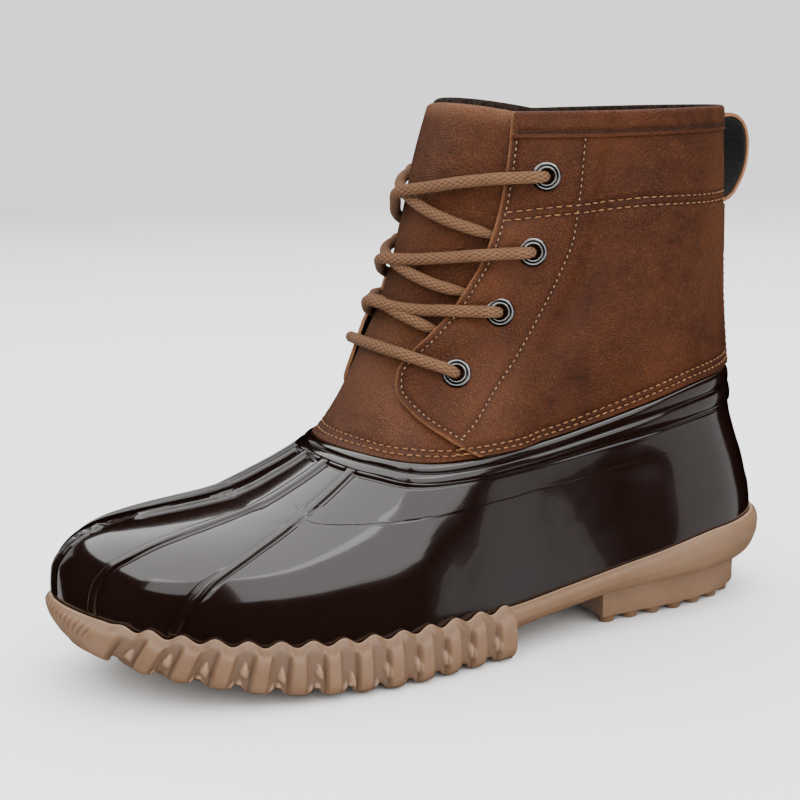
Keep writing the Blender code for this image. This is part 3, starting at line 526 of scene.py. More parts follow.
def closed_grid(rows, columns):
    """Point numbers of a grid whose last column joins its first."""
    index = np.arange(rows * columns).reshape(rows, columns)
    return np.concatenate([index, index[:, :1]], 1)


def face_outwards(piece, split=False):
    """Turns all faces of a closed piece outwards. Split cuts faces of many corners into triangles."""
    work = bmesh.new()
    work.from_mesh(piece.data)
    bmesh.ops.recalc_face_normals(work, faces=work.faces)
    if split:
        bmesh.ops.triangulate(work, faces=[f for f in work.faces if len(f.verts) > 4])
    work.to_mesh(piece.data)
    work.free()


def new_piece(name, vertices, faces, finishes, finish_of_face=None, sharp=40):
    """An object at the origin with its place in its mesh."""
    mesh = bpy.data.meshes.new(name)
    mesh.from_pydata(np.asarray(vertices, float).tolist(), [], [list(map(int, f)) for f in faces])
    for finish in finishes:
        mesh.materials.append(finish)
    if finish_of_face is not None:
        mesh.polygons.foreach_set("material_index", np.asarray(finish_of_face, np.int32))
    mesh.shade_smooth()
    if sharp:
        mesh.set_sharp_from_angle(angle=math.radians(sharp))
    made = bpy.data.objects.new(name, mesh)
    bpy.context.scene.collection.objects.link(made)
    return made


def add_mask(piece, name, values):
    """A number on every point that a material can read by name."""
    attribute = piece.data.attributes.new(name, "FLOAT", "POINT")
    attribute.data.foreach_set("value", np.asarray(values, np.float32).ravel())


def grid_wall(name, outer, inner, closed, finishes, sharp=40):
    """A wall between two grids (rows going up, columns going round to the left as seen from inside).
    finishes are those of the outer side, the inner side and the edge."""
    rows, columns = outer.shape[:2]
    first = np.arange(rows * columns).reshape(rows, columns)
    second = first + rows * columns
    if closed:
        first = np.concatenate([first, first[:, :1]], 1)
        second = np.concatenate([second, second[:, :1]], 1)
    sides = [quads(first), quads(second[:, ::-1])]
    edges = [quads(np.stack([first[-1], second[-1]])), quads(np.stack([second[0], first[0]]))]
    if not closed:
        edges.append(quads(np.stack([second[:, 0], first[:, 0]], 1)))
        edges.append(quads(np.stack([first[:, -1], second[:, -1]], 1)))
    edges = np.concatenate(edges)
    faces = np.concatenate([*sides, edges])
    kind = np.concatenate([np.full(len(sides[0]), 0), np.full(len(sides[1]), 1), np.full(len(edges), 2)])
    points = np.concatenate([outer.reshape(-1, 3), inner.reshape(-1, 3)])
    return new_piece(name, points, faces, finishes, kind, sharp)


def dress(piece, slot, *nodes):
    """The piece rides on the boot and stands for its solids. The slot is not used."""
    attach(piece, "root")
    if nodes:
        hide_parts(*nodes)
    triangles = sum(len(face.vertices) - 2 for face in piece.data.polygons)
    print(f"{piece.name}: {triangles} triangles")
    return piece

# %% [markdown]
# ## Node helpers
# A material is a small graph. Naming each node by hand takes many lines, so this class adds a node
# and links it in one call. It writes a value into a socket, or links it if the value is a socket.


# %% Writing node graphs in one line each
class Graph:
    """Short calls that add nodes to a node tree."""

    def __init__(self, tree):
        self.tree = tree

    def add(self, kind, inputs=None, **settings):
        node = self.tree.nodes.new(kind)
        for key, value in settings.items():
            setattr(node, key, value)
        for key, value in (inputs or {}).items():
            if isinstance(value, bpy.types.NodeSocket):
                self.tree.links.new(value, node.inputs[key])
            else:
                node.inputs[key].default_value = value
        return node

    def maths(self, operation, a, b=0.0, clamp=False):
        return self.add("ShaderNodeMath", {0: a, 1: b}, operation=operation, use_clamp=clamp).outputs[0]

    def blend(self, share, a, b):
        """Colour a where share is 0, colour b where it is 1."""
        a, b = ((*c, 1) if isinstance(c, tuple) and len(c) == 3 else c for c in (a, b))
        return self.add("ShaderNodeMix", {0: share, 6: a, 7: b}, data_type="RGBA").outputs[2]

    def times(self, a, b, clamp=False):
        return self.maths("MULTIPLY", a, b, clamp)

    def plus(self, a, b):
        return self.maths("ADD", a, b)

    def noise(self, place, scale, detail=2.0, roughness=0.5):
        inputs = {"Vector": place, "Scale": scale, "Detail": detail, "Roughness": roughness}
        return self.add("ShaderNodeTexNoise", inputs).outputs[0]

    def between(self, value, low, high, out_low=0.0, out_high=1.0):
        inputs = {0: value, 1: low, 2: high, 3: out_low, 4: out_high}
        return self.add("ShaderNodeMapRange", inputs).outputs[0]

    def place(self):
        return self.add("ShaderNodeTexCoord").outputs["Object"]

    def stretch(self, place, scale):
        return self.add("ShaderNodeMapping", {"Vector": place, "Scale": scale}).outputs[0]

    def mask(self, name):
        return self.add("ShaderNodeAttribute", attribute_name=name).outputs["Fac"]


def new_material(name, **sockets):
    """A material, its graph and its shader, with constants set on the shader's own sockets."""
    made = bpy.data.materials.new(name)
    made.use_nodes = True
    shader = made.node_tree.nodes["Principled BSDF"]
    for key, value in sockets.items():
        shader.inputs[key.replace("_", " ")].default_value = value
    return made, Graph(made.node_tree), shader


def finish_with(graph, shader, colour=None, roughness=None, height=None, depth=0.0003):
    """Links what varies over the surface to the shader."""
    links = graph.tree.links
    if colour is not None:
        links.new(colour, shader.inputs["Base Color"])
    if roughness is not None:
        links.new(roughness, shader.inputs["Roughness"])
    if height is not None:
        relief = graph.add("ShaderNodeBump", {"Height": height, "Distance": depth, "Strength": 1.0})
        links.new(relief.outputs[0], shader.inputs["Normal"])


def effect_group(name, inputs, outputs, build):
    """A node group with named number inputs and outputs."""
    tree = bpy.data.node_groups.new(name, "ShaderNodeTree")
    for label, kind, start in inputs:
        socket = tree.interface.new_socket(label, in_out="INPUT", socket_type=kind)
        if start is not None:
            socket.default_value = start
    for label, kind in outputs:
        tree.interface.new_socket(label, in_out="OUTPUT", socket_type=kind)
    graph = Graph(tree)
    entry = graph.add("NodeGroupInput")
    leave = graph.add("NodeGroupOutput")
    for label, socket in build(graph, entry.outputs).items():
        tree.links.new(socket, leave.inputs[label])
    return tree


# %% [markdown]
# ## Effects that several finishes share
# Three effects return on this boot: the pebbled grain of leather, the slow drift of colour that oil
# and dye leave, and the over-and-under of woven cloth. Each is a group with its own inputs, built
# once and placed in every material that needs it.


# %% Effect groups
def build_grain(graph, given):
    """Pebbles a millimetre across, cut by finer creases that run in drifting directions."""
    place, scale = given["Place"], given["Scale"]
    wobble = graph.add("ShaderNodeTexNoise", {"Vector": place, "Scale": graph.times(scale, 0.35)})
    shift = graph.add("ShaderNodeVectorMath", {0: wobble.outputs["Color"], 3: 0.0012}, operation="SCALE")
    bent = graph.add("ShaderNodeVectorMath", {0: place, 1: shift.outputs[0]}).outputs[0]
    pebble = graph.add(
        "ShaderNodeTexVoronoi", {"Vector": bent, "Scale": scale}, feature="DISTANCE_TO_EDGE"
    ).outputs["Distance"]
    pebble = graph.between(pebble, 0.0, 0.32)
    fine = graph.noise(bent, graph.times(scale, 1.7), 3.0, 0.6)
    drift = graph.noise(place, graph.times(scale, 0.05), 2.0)
    crease = graph.add(
        "ShaderNodeTexVoronoi", {"Vector": bent, "Scale": graph.times(scale, 0.3)}, feature="DISTANCE_TO_EDGE"
    ).outputs["Distance"]
    crease = graph.between(crease, 0.0, 0.07)
    strength = graph.between(drift, 0.35, 0.65, 0.35, 1.0)
    height = graph.times(graph.times(pebble, 0.7), strength)
    height = graph.plus(height, graph.times(fine, 0.45))
    height = graph.plus(height, graph.times(crease, 0.25))
    return {"Height": height, "Pebble": pebble}


def build_mottle(graph, given):
    """0 to 1 in broad clouds with smaller ones inside them."""
    broad = graph.noise(given["Place"], given["Scale"], 4.0, 0.6)
    small = graph.noise(given["Place"], graph.times(given["Scale"], 6.0), 3.0, 0.6)
    both = graph.plus(graph.times(broad, 0.7), graph.times(small, 0.3))
    return {"Cloud": graph.between(both, 0.36, 0.64)}


def build_weave(graph, given):
    """Threads that pass over and under, from coordinates that follow the cloth."""
    parts = graph.add("ShaderNodeSeparateXYZ", {0: given["Place"]})
    turn = graph.times(given["Threads"], math.pi)
    along = graph.maths("SINE", graph.times(parts.outputs[0], turn))
    across = graph.maths("SINE", graph.times(parts.outputs[1], turn))
    return {"Height": graph.maths("ABSOLUTE", graph.times(along, across))}


PLACE = ("Place", "NodeSocketVector", None)
SCALE = ("Scale", "NodeSocketFloat", 100.0)
NUMBER = "NodeSocketFloat"
grain_group = effect_group("leather_grain", (PLACE, SCALE), (("Height", NUMBER), ("Pebble", NUMBER)), build_grain)
mottle_group = effect_group("mottle", (PLACE, SCALE), (("Cloud", NUMBER),), build_mottle)
weave_group = effect_group("weave", (PLACE, ("Threads", NUMBER, 100.0)), (("Height", NUMBER),), build_weave)


def use(graph, group, inputs):
    return graph.add("ShaderNodeGroup", inputs, node_tree=group).outputs


def clouds(graph, place, scale):
    return use(graph, mottle_group, {"Place": place, "Scale": scale})["Cloud"]


# %% [markdown]
# ## Finishes
# Leather is the main one. It is oiled leather that turns paler where it is stretched, so its colour
# drifts between three browns, and masks written on the mesh paint shade along its seams and bare its
# edges; the grain's crevices carry painted shade and its fine creases a painted highlight. The shell is
# nearly black rubber with a hard gloss: its looks come from what it mirrors. The sole is raw gum
# rubber, matt, with painted shade in its valleys.


# %% Leathers
def brown_leather(name, dark, middle, pale, grain_scale, gloss):
    made, graph, shader = new_material(name, Specular_IOR_Level=0.18)
    place = graph.place()
    grain = use(graph, grain_group, {"Place": place, "Scale": grain_scale})
    broad = clouds(graph, place, 16.0)
    small = clouds(graph, graph.stretch(place, (1, 1, 1.7)), 120.0)
    colour = graph.blend(graph.times(broad, 0.75), dark, middle)
    colour = graph.blend(graph.times(graph.mask("pull_up"), 0.85, clamp=True), colour, pale)
    colour = graph.blend(graph.times(small, 0.22), colour, tuple(1.5 * c for c in middle))
    # painted shade: darker in the crevices between the grain's pebbles
    crevice_shade = graph.between(grain["Pebble"], 0.0, 0.75, 0.55, 0.0)
    crevice_shade = graph.times(crevice_shade, graph.between(broad, 0.0, 1.0, 1.0, 0.6))
    colour = graph.blend(crevice_shade, colour, tuple(0.35 * c for c in dark))
    # painted shade along the seam grooves
    colour = graph.blend(graph.times(graph.mask("seam"), 0.45), colour, tuple(0.55 * c for c in dark))
    colour = graph.blend(graph.times(graph.mask("edge"), 0.75), colour, (0.20, 0.085, 0.034))
    turned = graph.add("ShaderNodeMapping", {"Vector": place, "Rotation": (0.95, 0.30, 0.2)}).outputs[0]
    slanted = graph.stretch(turned, (1.0, 1.0, 0.32))
    # painted highlight: the fine crease lines are painted paler, and they also raise the relief
    wrinkle_and_highlight = graph.between(graph.noise(slanted, 1500.0, 4.0, 0.65), 0.50, 0.66)
    wrinkle_and_highlight = graph.times(wrinkle_and_highlight, graph.between(small, 0.2, 0.9, 0.25, 1.0))
    colour = graph.blend(graph.times(wrinkle_and_highlight, 0.42), colour, pale)
    rough = graph.between(grain["Height"], 0.3, 1.1, gloss + 0.16, gloss)
    height = graph.maths("SUBTRACT", grain["Height"], graph.times(graph.mask("seam"), 0.9))
    height = graph.plus(height, graph.times(wrinkle_and_highlight, 0.55))
    finish_with(graph, shader, colour, rough, height, 0.00034)
    return made


def raw_edge():
    """The cut edge of the hide: pale orange fibres."""
    made, graph, shader = new_material("raw_leather_edge", Roughness=0.85)
    place = graph.place()
    fibre = graph.noise(graph.stretch(place, (1, 1, 0.5)), 2600.0, 3.0, 0.7)
    cloud = clouds(graph, place, 150.0)
    colour = graph.blend(cloud, (0.15, 0.055, 0.018), (0.28, 0.125, 0.050))
    colour = graph.blend(graph.between(fibre, 0.55, 0.75), colour, (0.06, 0.020, 0.006))
    finish_with(graph, shader, colour, None, fibre, 0.0004)
    return made


def suede():
    made, graph, shader = new_material("backstay_suede", Roughness=0.95, Specular_IOR_Level=0.15, Sheen_Weight=0.03)
    place = graph.place()
    cloud = clouds(graph, place, 60.0)
    nap = graph.noise(place, 1800.0, 4.0, 0.7)
    colour = graph.blend(cloud, (0.040, 0.012, 0.004), (0.080, 0.027, 0.010))
    colour = graph.blend(graph.times(nap, 0.4), colour, (0.13, 0.050, 0.022))
    finish_with(graph, shader, colour, None, nap, 0.0003)
    return made


shaft_leather = brown_leather(
    "shaft_leather", (0.026, 0.0052, 0.0006), (0.074, 0.0180, 0.0022), (0.125, 0.047, 0.019), 820.0, 0.40
)
tongue_leather = brown_leather(
    "tongue_leather", (0.034, 0.0070, 0.0008), (0.088, 0.0240, 0.0036), (0.170, 0.072, 0.034), 950.0, 0.36
)
edge_leather = raw_edge()
stay_suede = suede()


# %% Rubbers
def shell_rubber():
    made, graph, shader = new_material(
        "shell_rubber", Specular_IOR_Level=0.55, Coat_Roughness=0.03, Coat_IOR=1.5, Coat_Weight=0.6
    )
    place = graph.place()
    cloud = clouds(graph, place, 14.0)
    colour = graph.blend(cloud, (0.0050, 0.0019, 0.0012), (0.0080, 0.0034, 0.0024))
    rough = graph.between(cloud, 0.0, 1.0, 0.10, 0.17)
    ripple = graph.noise(place, 38.0, 2.0, 0.4)
    finish_with(graph, shader, colour, rough, ripple, 0.00035)
    return made


def gum_rubber():
    made, graph, shader = new_material(
        "gum_rubber", Specular_IOR_Level=0.4, Subsurface_Weight=0.12, Subsurface_Scale=0.004
    )
    place = graph.place()
    cloud = clouds(graph, place, 40.0)
    speck = graph.add("ShaderNodeTexVoronoi", {"Vector": place, "Scale": 520.0}).outputs["Distance"]
    colour = graph.blend(cloud, (0.129, 0.071, 0.037), (0.165, 0.094, 0.050))
    # painted shade: the valleys between the bars and the notches of the tread are darkened
    colour = graph.blend(graph.times(graph.mask("valley_shade"), 0.45), colour, (0.091, 0.056, 0.037))
    # painted highlight: a pale line along the crest of the lip; the drops beside the bars are painted paler too
    colour = graph.blend(graph.mask("lip"), colour, (0.313, 0.196, 0.126))
    colour = graph.blend(graph.between(speck, 0.07, 0.03, 0.0, 0.35), colour, (0.278, 0.170, 0.100))
    # painted shade: darker in the creases beside the bars and in the cuts across the toe bumper
    colour = graph.blend(graph.times(graph.mask("crease_and_cut_shade"), 0.7), colour, (0.061, 0.028, 0.014))
    rough = graph.between(cloud, 0.0, 1.0, 0.42, 0.55)
    fine = graph.noise(place, 900.0, 3.0, 0.6)
    finish_with(graph, shader, colour, rough, fine, 0.00008)
    return made


shell_finish = shell_rubber()
gum_finish = gum_rubber()


# %% Cloths, threads and metal
def knit_lining(name, dark, light, scale):
    """Brushed knit, seen inside the boot and along the top of the tongue."""
    made, graph, shader = new_material(name, Roughness=0.95, Specular_IOR_Level=0.15)
    place = graph.place()
    inputs = {"Vector": graph.stretch(place, (1, 1, 0.6)), "Scale": scale}
    loops = graph.add("ShaderNodeTexVoronoi", inputs).outputs["Distance"]
    fuzz = graph.noise(place, scale * 2.4, 3.0, 0.7)
    height = graph.maths("SUBTRACT", graph.times(fuzz, 0.5), loops)
    colour = graph.blend(graph.between(height, -0.6, 0.3), dark, light)
    finish_with(graph, shader, colour, None, height, 0.0009)
    return made


def twisted_thread(name, dark, light, strands):
    """Plied thread: slanting bands along the coordinate that runs with it."""
    made, graph, shader = new_material(name, Roughness=0.72, Specular_IOR_Level=0.25)
    place = graph.place()
    cloud = clouds(graph, place, 260.0)
    ply = graph.noise(graph.stretch(place, (1, 1, 2.0)), strands, 1.0)
    share = graph.between(graph.plus(ply, graph.times(cloud, 0.3)), 0.45, 0.85)
    colour = graph.blend(share, dark, light)
    finish_with(graph, shader, colour, None, ply, 0.0002)
    return made


def braided_cord():
    """Two families of strands. The mesh carries their height in the mask called strand."""
    made, graph, shader = new_material("lace_cord", Roughness=0.88, Specular_IOR_Level=0.2)
    flow = graph.add("ShaderNodeUVMap", uv_map="flow").outputs[0]
    fibre = graph.noise(graph.place(), 2400.0, 3.0, 0.7)
    strand = graph.mask("strand")
    slow = graph.noise(flow, 9.0, 2.0)
    colour = graph.blend(graph.between(slow, 0.35, 0.65), (0.112, 0.054, 0.026), (0.148, 0.075, 0.038))
    # painted shade in the gaps between the strands
    colour = graph.blend(graph.between(strand, 0.70, 0.20), colour, (0.030, 0.013, 0.006))
    # painted highlight: pale flecks on the fibres
    colour = graph.blend(graph.between(fibre, 0.52, 0.75, 0.0, 0.5), colour, (0.26, 0.145, 0.078))
    height = graph.plus(graph.times(strand, 0.8), graph.times(fibre, 0.35))
    finish_with(graph, shader, colour, None, height, 0.00025)
    return made


def black_webbing():
    made, graph, shader = new_material("loop_webbing", Roughness=0.9, Specular_IOR_Level=0.15, Sheen_Weight=0.03)
    flow = graph.add("ShaderNodeUVMap", uv_map="flow").outputs[0]
    rows = use(graph, weave_group, {"Place": flow, "Threads": 1100.0})["Height"]
    colour = graph.blend(rows, (0.008, 0.009, 0.009), (0.035, 0.038, 0.036))
    finish_with(graph, shader, colour, None, rows, 0.0003)
    return made


def gunmetal():
    made, graph, shader = new_material("gunmetal", Metallic=1.0)
    place = graph.place()
    cloud = clouds(graph, place, 300.0)
    colour = graph.blend(cloud, (0.170, 0.168, 0.166), (0.270, 0.267, 0.264))
    # painted shade: nearly black in the groove, inside the hole and under the flange
    colour = graph.blend(graph.mask("recess_shade"), colour, (0.010, 0.010, 0.010))
    finish_with(graph, shader, colour, graph.between(cloud, 0.0, 1.0, 0.14, 0.24), cloud, 0.00002)
    return made


def felt():
    made, graph, shader = new_material("insole_felt", Roughness=0.97, Sheen_Weight=0.3)
    place = graph.place()
    cloud = clouds(graph, place, 90.0)
    fuzz = graph.noise(place, 1500.0, 4.0, 0.75)
    colour = graph.blend(cloud, (0.020, 0.011, 0.008), (0.048, 0.029, 0.021))
    colour = graph.blend(graph.between(fuzz, 0.5, 0.8, 0.0, 0.5), colour, (0.12, 0.085, 0.065))
    finish_with(graph, shader, colour, None, fuzz, 0.0005)
    return made


dark_knit = knit_lining("knit_lining", (0.0070, 0.0035, 0.0025), (0.026, 0.0140, 0.0095), 620.0)
tan_thread = twisted_thread("tan_thread", (0.110, 0.044, 0.014), (0.240, 0.115, 0.046), 1500.0)
pale_thread = twisted_thread("pale_thread", (0.150, 0.080, 0.040), (0.340, 0.215, 0.125), 1500.0)
dark_thread = twisted_thread("dark_thread", (0.012, 0.005, 0.002), (0.045, 0.020, 0.010), 1500.0)
# painted shade: a dark bead stands for the shade in each needle hole
needle_hole_shade = new_material("needle_hole_shade", Roughness=0.9, Base_Color=(0.012, 0.005, 0.003, 1))[0]
lace_finish = braided_cord()
webbing_finish = black_webbing()
metal_finish = gunmetal()
felt_finish = felt()
print("finishes:", len(bpy.data.materials))

# %% [markdown]
# ## The rubber shell
# The real shell is moulded in one piece: five thin ribs fan over the toe, and a raised band in two
# tiers follows the edge of the leather. On a glossy surface every uneven face shows in the
# reflections, so the mesh is a fine grid whose columns run along the ribs, and the relief is a
# smooth function of the distance to each rib and to the band.

# %% Shell measurements
SHELL_WALL = 0.0025
LEATHER = 0.0018
BAND_WIDTH = 0.014
BAND_FRONT = 0.55
BAND_GROWTH = 1.3
BAND_PROUD = 0.0010
RIB_HALF = 0.00135
RIB_FLANK = 0.0006
RIB_CROWN = 0.00015
RIB_PROUD = 0.0012
GROOVE = 0.00035


def band_width(angle):
    """Width of the raised band: narrow over the toe, full along the side."""
    return BAND_WIDTH * (BAND_FRONT + (1 - BAND_FRONT) * ease(folded(angle) / BAND_GROWTH))


def settle(height_of, angles, rounds=16):
    """Heights at which the last meets a line that is given by height along the foot."""
    z = np.full(len(angles), HEEL_SEAT)
    for _ in range(rounds):
        z = 0.4 * z + 0.6 * height_of(last_point(angles, z)[..., 1])
    return z


# %% Columns and rows of the shell
SHELL_ROWS = 118
RIB_STEPS = np.array((0.4, 0.85, 1.1, 1.3, 1.5, 1.75, 2.05, 2.5, 3.2, 4.2)) * MM
RIB_STEPS = np.concatenate([-RIB_STEPS[::-1], [0.0], RIB_STEPS])
PANEL_COLUMNS = 7
SIDE_COLUMNS = 66


def rib_angles(z_of, share):
    """Angles at which one row meets the middle of each rib."""
    low = 1 - ease((share - 0.40) / 0.20)
    angles = np.linspace(0, 1.5, 601)
    x, y, _ = last_point(angles, z_of(angles)).T / MM
    found = [0.0]
    for line, turn in zip(rib_lines, rib_turns):
        beyond = x - line(y)
        k = int(np.argmax(beyond > 0))
        upper = float(np.interp(0, beyond[k - 1 : k + 1], angles[k - 1 : k + 1]))
        found.append(float(upper + (turn(share) - upper) * low))
    return found


def shell_columns(centres, z_of):
    """Angles of one row: close together across each rib, even between them and round the heel."""
    found = []
    last = None
    for centre in centres:
        pair = np.array([centre - 0.03, centre + 0.03])
        ends = last_point(pair, z_of(pair))
        across = RIB_STEPS / (np.linalg.norm(ends[1] - ends[0]) / 0.06)
        if last is not None:
            found += list(np.linspace(last, centre + across[0], PANEL_COLUMNS + 2)[1:-1])
        found += list(centre + across[across >= -centre]) if centre else list(across[10:])
        last = found[-1]
    side = np.linspace(0, 1, SIDE_COLUMNS + 1)[1:-1]
    found += list(last + (math.pi - last) * (0.55 * side + 0.45 * np.sin(side * math.pi / 2)))
    half = np.array(found)
    return np.concatenate([half, [math.pi], 2 * math.pi - half[:0:-1]])


def make_shell():
    """Rows of the panels from the tray up, then the two tiers of the band and the recess behind it."""
    rows_out, rows_in = [], []
    rim_of = lambda angles: settle(rim_height, angles)
    floor_of = lambda angles: settle(lambda y: footbed_height(y) + 0.0006, angles)

    def foot_of(angles):
        return along(angles, topline(angles), -band_width(angles))

    def add(z_of, lift_of, inner_offset=0.0, share=1.0):
        centres = rib_angles(z_of, share)
        angles = shell_columns(centres, z_of)
        z = z_of(angles)
        rows_out.append(proud(angles, z, lift_of(angles, z, centres)))
        rows_in.append(proud(angles, z, np.full(len(angles), inner_offset - SHELL_WALL)))

    add(floor_of, lambda a, z, c: np.zeros(len(a)), share=0.0)
    shares = np.concatenate([np.linspace(0, 0.9, SHELL_ROWS - 22, endpoint=False), np.linspace(0.9, 1.0, 22)])
    for share in shares:
        def z_of(angles, share=share):
            return (1 - share) * rim_of(angles) + share * foot_of(angles)

        def lift_of(angles, z, centres, share=share):
            points = last_point(angles, z)
            spacing = np.linalg.norm(np.roll(points, -1, 0) - np.roll(points, 1, 0), axis=1)
            turn = np.abs((np.roll(angles, -1) - np.roll(angles, 1) + math.pi) % (2 * math.pi) - math.pi)
            scale = spacing / np.maximum(turn, 1e-6)
            nearest = np.full(len(angles), 1.0)
            for centre in centres:
                nearest = np.minimum(nearest, np.abs(folded(angles) - centre) * scale)
            rise = ease((RIB_HALF + RIB_FLANK / 2 - nearest) / RIB_FLANK)
            crown = RIB_CROWN * (1 - np.clip(nearest / RIB_HALF, 0, 1) ** 2)
            fade = ease((share + 0.01) / 0.06)
            lift = fade * (RIB_PROUD * rise + crown)
            panel = proud(angles, foot_of(angles), 0 * z) - proud(angles, rim_of(angles), 0 * z)
            to_band = (1 - share) * np.linalg.norm(panel, axis=1)
            band = ease((0.0007 - to_band) / 0.0007)
            lift = np.maximum(lift, BAND_PROUD * band)
            beside = bump(nearest - RIB_HALF - 0.0009, 0.0005) * fade
            under = bump(to_band - 0.0014, 0.0006) * (1 - rise)
            return lift - GROOVE * np.maximum(beside, under) * (1 - rise)

        add(z_of, lift_of, share=share)
    # distance below the leather's edge as a share of the band, and the relief there
    tiers = (
        (0.985, 0.80), (0.95, 1.05), (0.88, 1.30), (0.75, 1.36), (0.62, 1.26), (0.545, 1.02), (0.515, 0.62),
        (0.50, 0.50), (0.485, 0.66), (0.455, 1.12), (0.40, 1.40), (0.30, 1.50), (0.20, 1.46), (0.12, 1.25),
        (0.06, 0.85),
    )

    def add_level(height_of, lift, inner_offset=0.0):
        add(height_of, lambda a, z, c: np.full(len(a), lift), inner_offset)

    for share, height in tiers:
        add_level(lambda a: along(a, topline(a), -band_width(a) * share), height * BAND_PROUD)
    for distance, height in ((-0.0006, 0.2), (-0.0003, -1.6)):
        add_level(lambda a: along(a, topline(a), distance), height * MM, -0.4 * MM)
    for distance in (0.0, 0.003, 0.006, 0.0088):
        add_level(lambda a: along(a, topline(a), distance), -LEATHER, -LEATHER)
    outer, inner = np.array(rows_out), np.array(rows_in)
    made = grid_wall("rubber_shell", outer, inner, True, (shell_finish, dark_knit, shell_finish), sharp=0)
    return dress(made, "shell_rubber", "shell")


make_shell()

# %% [markdown]
# ## Seam lines
# Stitches, the grooves that they pull into the leather and the painted shade along those grooves all
# follow the same lines, so the lines come first. Each is a list of places given by angle and height,
# and is measured from the edge that it runs beside.

# %% Lines on the leather
GAP = 0.0003
LAP_GAP = 0.0006
FLAP_GAP = 0.0009
LEATHER_IN = -LEATHER + GAP + LAP_GAP
FLAP_IN = LEATHER_IN + LEATHER + FLAP_GAP
TONGUE_CLEAR = 0.04
TONGUE_STEP = 0.15
COLLAR_BAND = 0.0095
COLLAR_PROUD = 0.0008
COLLAR_ROUND = 0.0016
BACKSTAY_TURN = 0.405
BACKSTAY_SEAM = 0.36
BACKSTAY_PROUD = 0.0008
BACKSTAY_TOP = 0.160
TONGUE_HEIGHT = 0.2045
TONGUE_ROUND = 0.010

BAND_LOW = COLLAR_HEIGHT - COLLAR_BAND


def shaft_offset(angle, z):
    """Inner face of the shaft: out over the tongue, back in behind it."""
    past = (folded(angle) - tongue_angle(z / COLLAR_HEIGHT) - TONGUE_CLEAR) / TONGUE_STEP
    return FLAP_IN + (LEATHER_IN - FLAP_IN) * ease(past)


def lace_lift(angle, z):
    """How far the flap stands off the tongue where a lace comes out under its edge."""
    lift = 0 * z
    for _, _, start, _ in EYELETS[:3]:
        beside = bump(z - start * COLLAR_HEIGHT, 0.0085)
        inwards = (folded(angle) - flap_angle(z)) * 0.045
        lift = np.maximum(lift, 0.0030 * beside * bump(np.maximum(inwards, 0), 0.011))
    return lift


def waves(angle, z):
    """Slow unevenness of a leather that has been pulled over a last by hand."""
    a = 7.0 * angle + 40 * z
    b = 3.1 * angle - 85 * z
    return 0.16 * MM * (np.sin(a + 1.3 * np.sin(55 * z)) + np.sin(b + 2.0 + 0.8 * np.sin(4 * angle)))


def backstay(angle, z):
    """1 on the suede strip that covers the seam at the back, 0 beside it and above it."""
    behind = np.abs(angle % (2 * math.pi) - math.pi)
    return ease((BACKSTAY_TURN - behind) / 0.012) * (z < BACKSTAY_TOP)


def leather_face(angle, z):
    """Offset of the shaft's outer face, before seams."""
    return shaft_offset(angle, z) + LEATHER + lace_lift(angle, z) + waves(angle, z) * ease((z - 0.085) / 0.02)


FACING = smooth_curve(
    [
        # height, angle
        (0.405, 0.860),
        (0.427, 0.898),
        (0.489, 0.985),
        (0.560, 1.075),
        (0.639, 1.145),
        (0.710, 1.207),
        (0.781, 1.250),
        (0.845, 1.246),
        (0.955, 1.218),
    ]
)
WAIST = smooth_curve(
    [
        # angle, height
        (0.70, 0.812),
        (0.83, 0.816),
        (1.09, 0.824),
        (1.38, 0.829),
        (1.70, 0.833),
        (2.30, 0.828),
        (3.15, 0.826),
    ]
)


def both_sides(angles, heights):
    return [(np.asarray(angles), np.asarray(heights)), (2 * math.pi - np.asarray(angles), np.asarray(heights))]


def round_the_back(start, height_of, count=420):
    """A line from the outer side round the heel to the inner side."""
    angles = np.linspace(start, 2 * math.pi - start, count)
    return angles, height_of(angles)


def edge_line(inset, low, high, count=160):
    """A line behind the flap's edge, at a distance from it."""
    z = np.linspace(low, high, count)
    angle = flap_angle(z)
    points = last_point(angle, z)
    ahead = np.gradient(points, axis=0)
    ahead /= np.linalg.norm(ahead, axis=1, keepdims=True)
    inward = np.cross(last_normal(angle, z), ahead)
    moved = points - inward * inset
    # back to angle and height: the height is the point's own, the angle comes from its station
    return angle_at(moved[:, 1] / LAST_LENGTH, moved[:, 2]), moved[:, 2]


COLLAR_SEAM = BAND_LOW + 0.0022
seams = {}
collar_start = float(flap_angle(np.array(COLLAR_SEAM))) + 0.06
seams["collar"] = [round_the_back(collar_start, lambda a: np.full(len(a), COLLAR_SEAM))]
seams["waist"] = [
    round_the_back(0.85, lambda a, d=d: WAIST(folded(a)) * COLLAR_HEIGHT + d * MM) for d in (-1.45, 1.45)
]
HEM_SEAMS = (2.9 * MM, 5.6 * MM)
seams["hem"] = [round_the_back(0.93, lambda a, d=d: along(a, topline(a), d)) for d in HEM_SEAMS]
edge_angles, edge_heights = edge_line(0.0024, 0.0815, BAND_LOW - 0.001)
seams["edge"] = both_sides(edge_angles, edge_heights)
facing_heights = np.linspace(0.0845, BAND_LOW - 0.0005, 150)
seams["facing"] = both_sides(FACING(facing_heights / COLLAR_HEIGHT), facing_heights)
stay_heights = np.linspace(0.0975, BACKSTAY_TOP - 0.002, 90)
seams["stay"] = both_sides(math.pi - np.full(90, BACKSTAY_SEAM), stay_heights)
vamp_angles = np.linspace(-1.12, 1.12, 240)
vamp_seams = [(vamp_angles, along(vamp_angles, topline(vamp_angles), np.full(240, d))) for d in HEM_SEAMS]


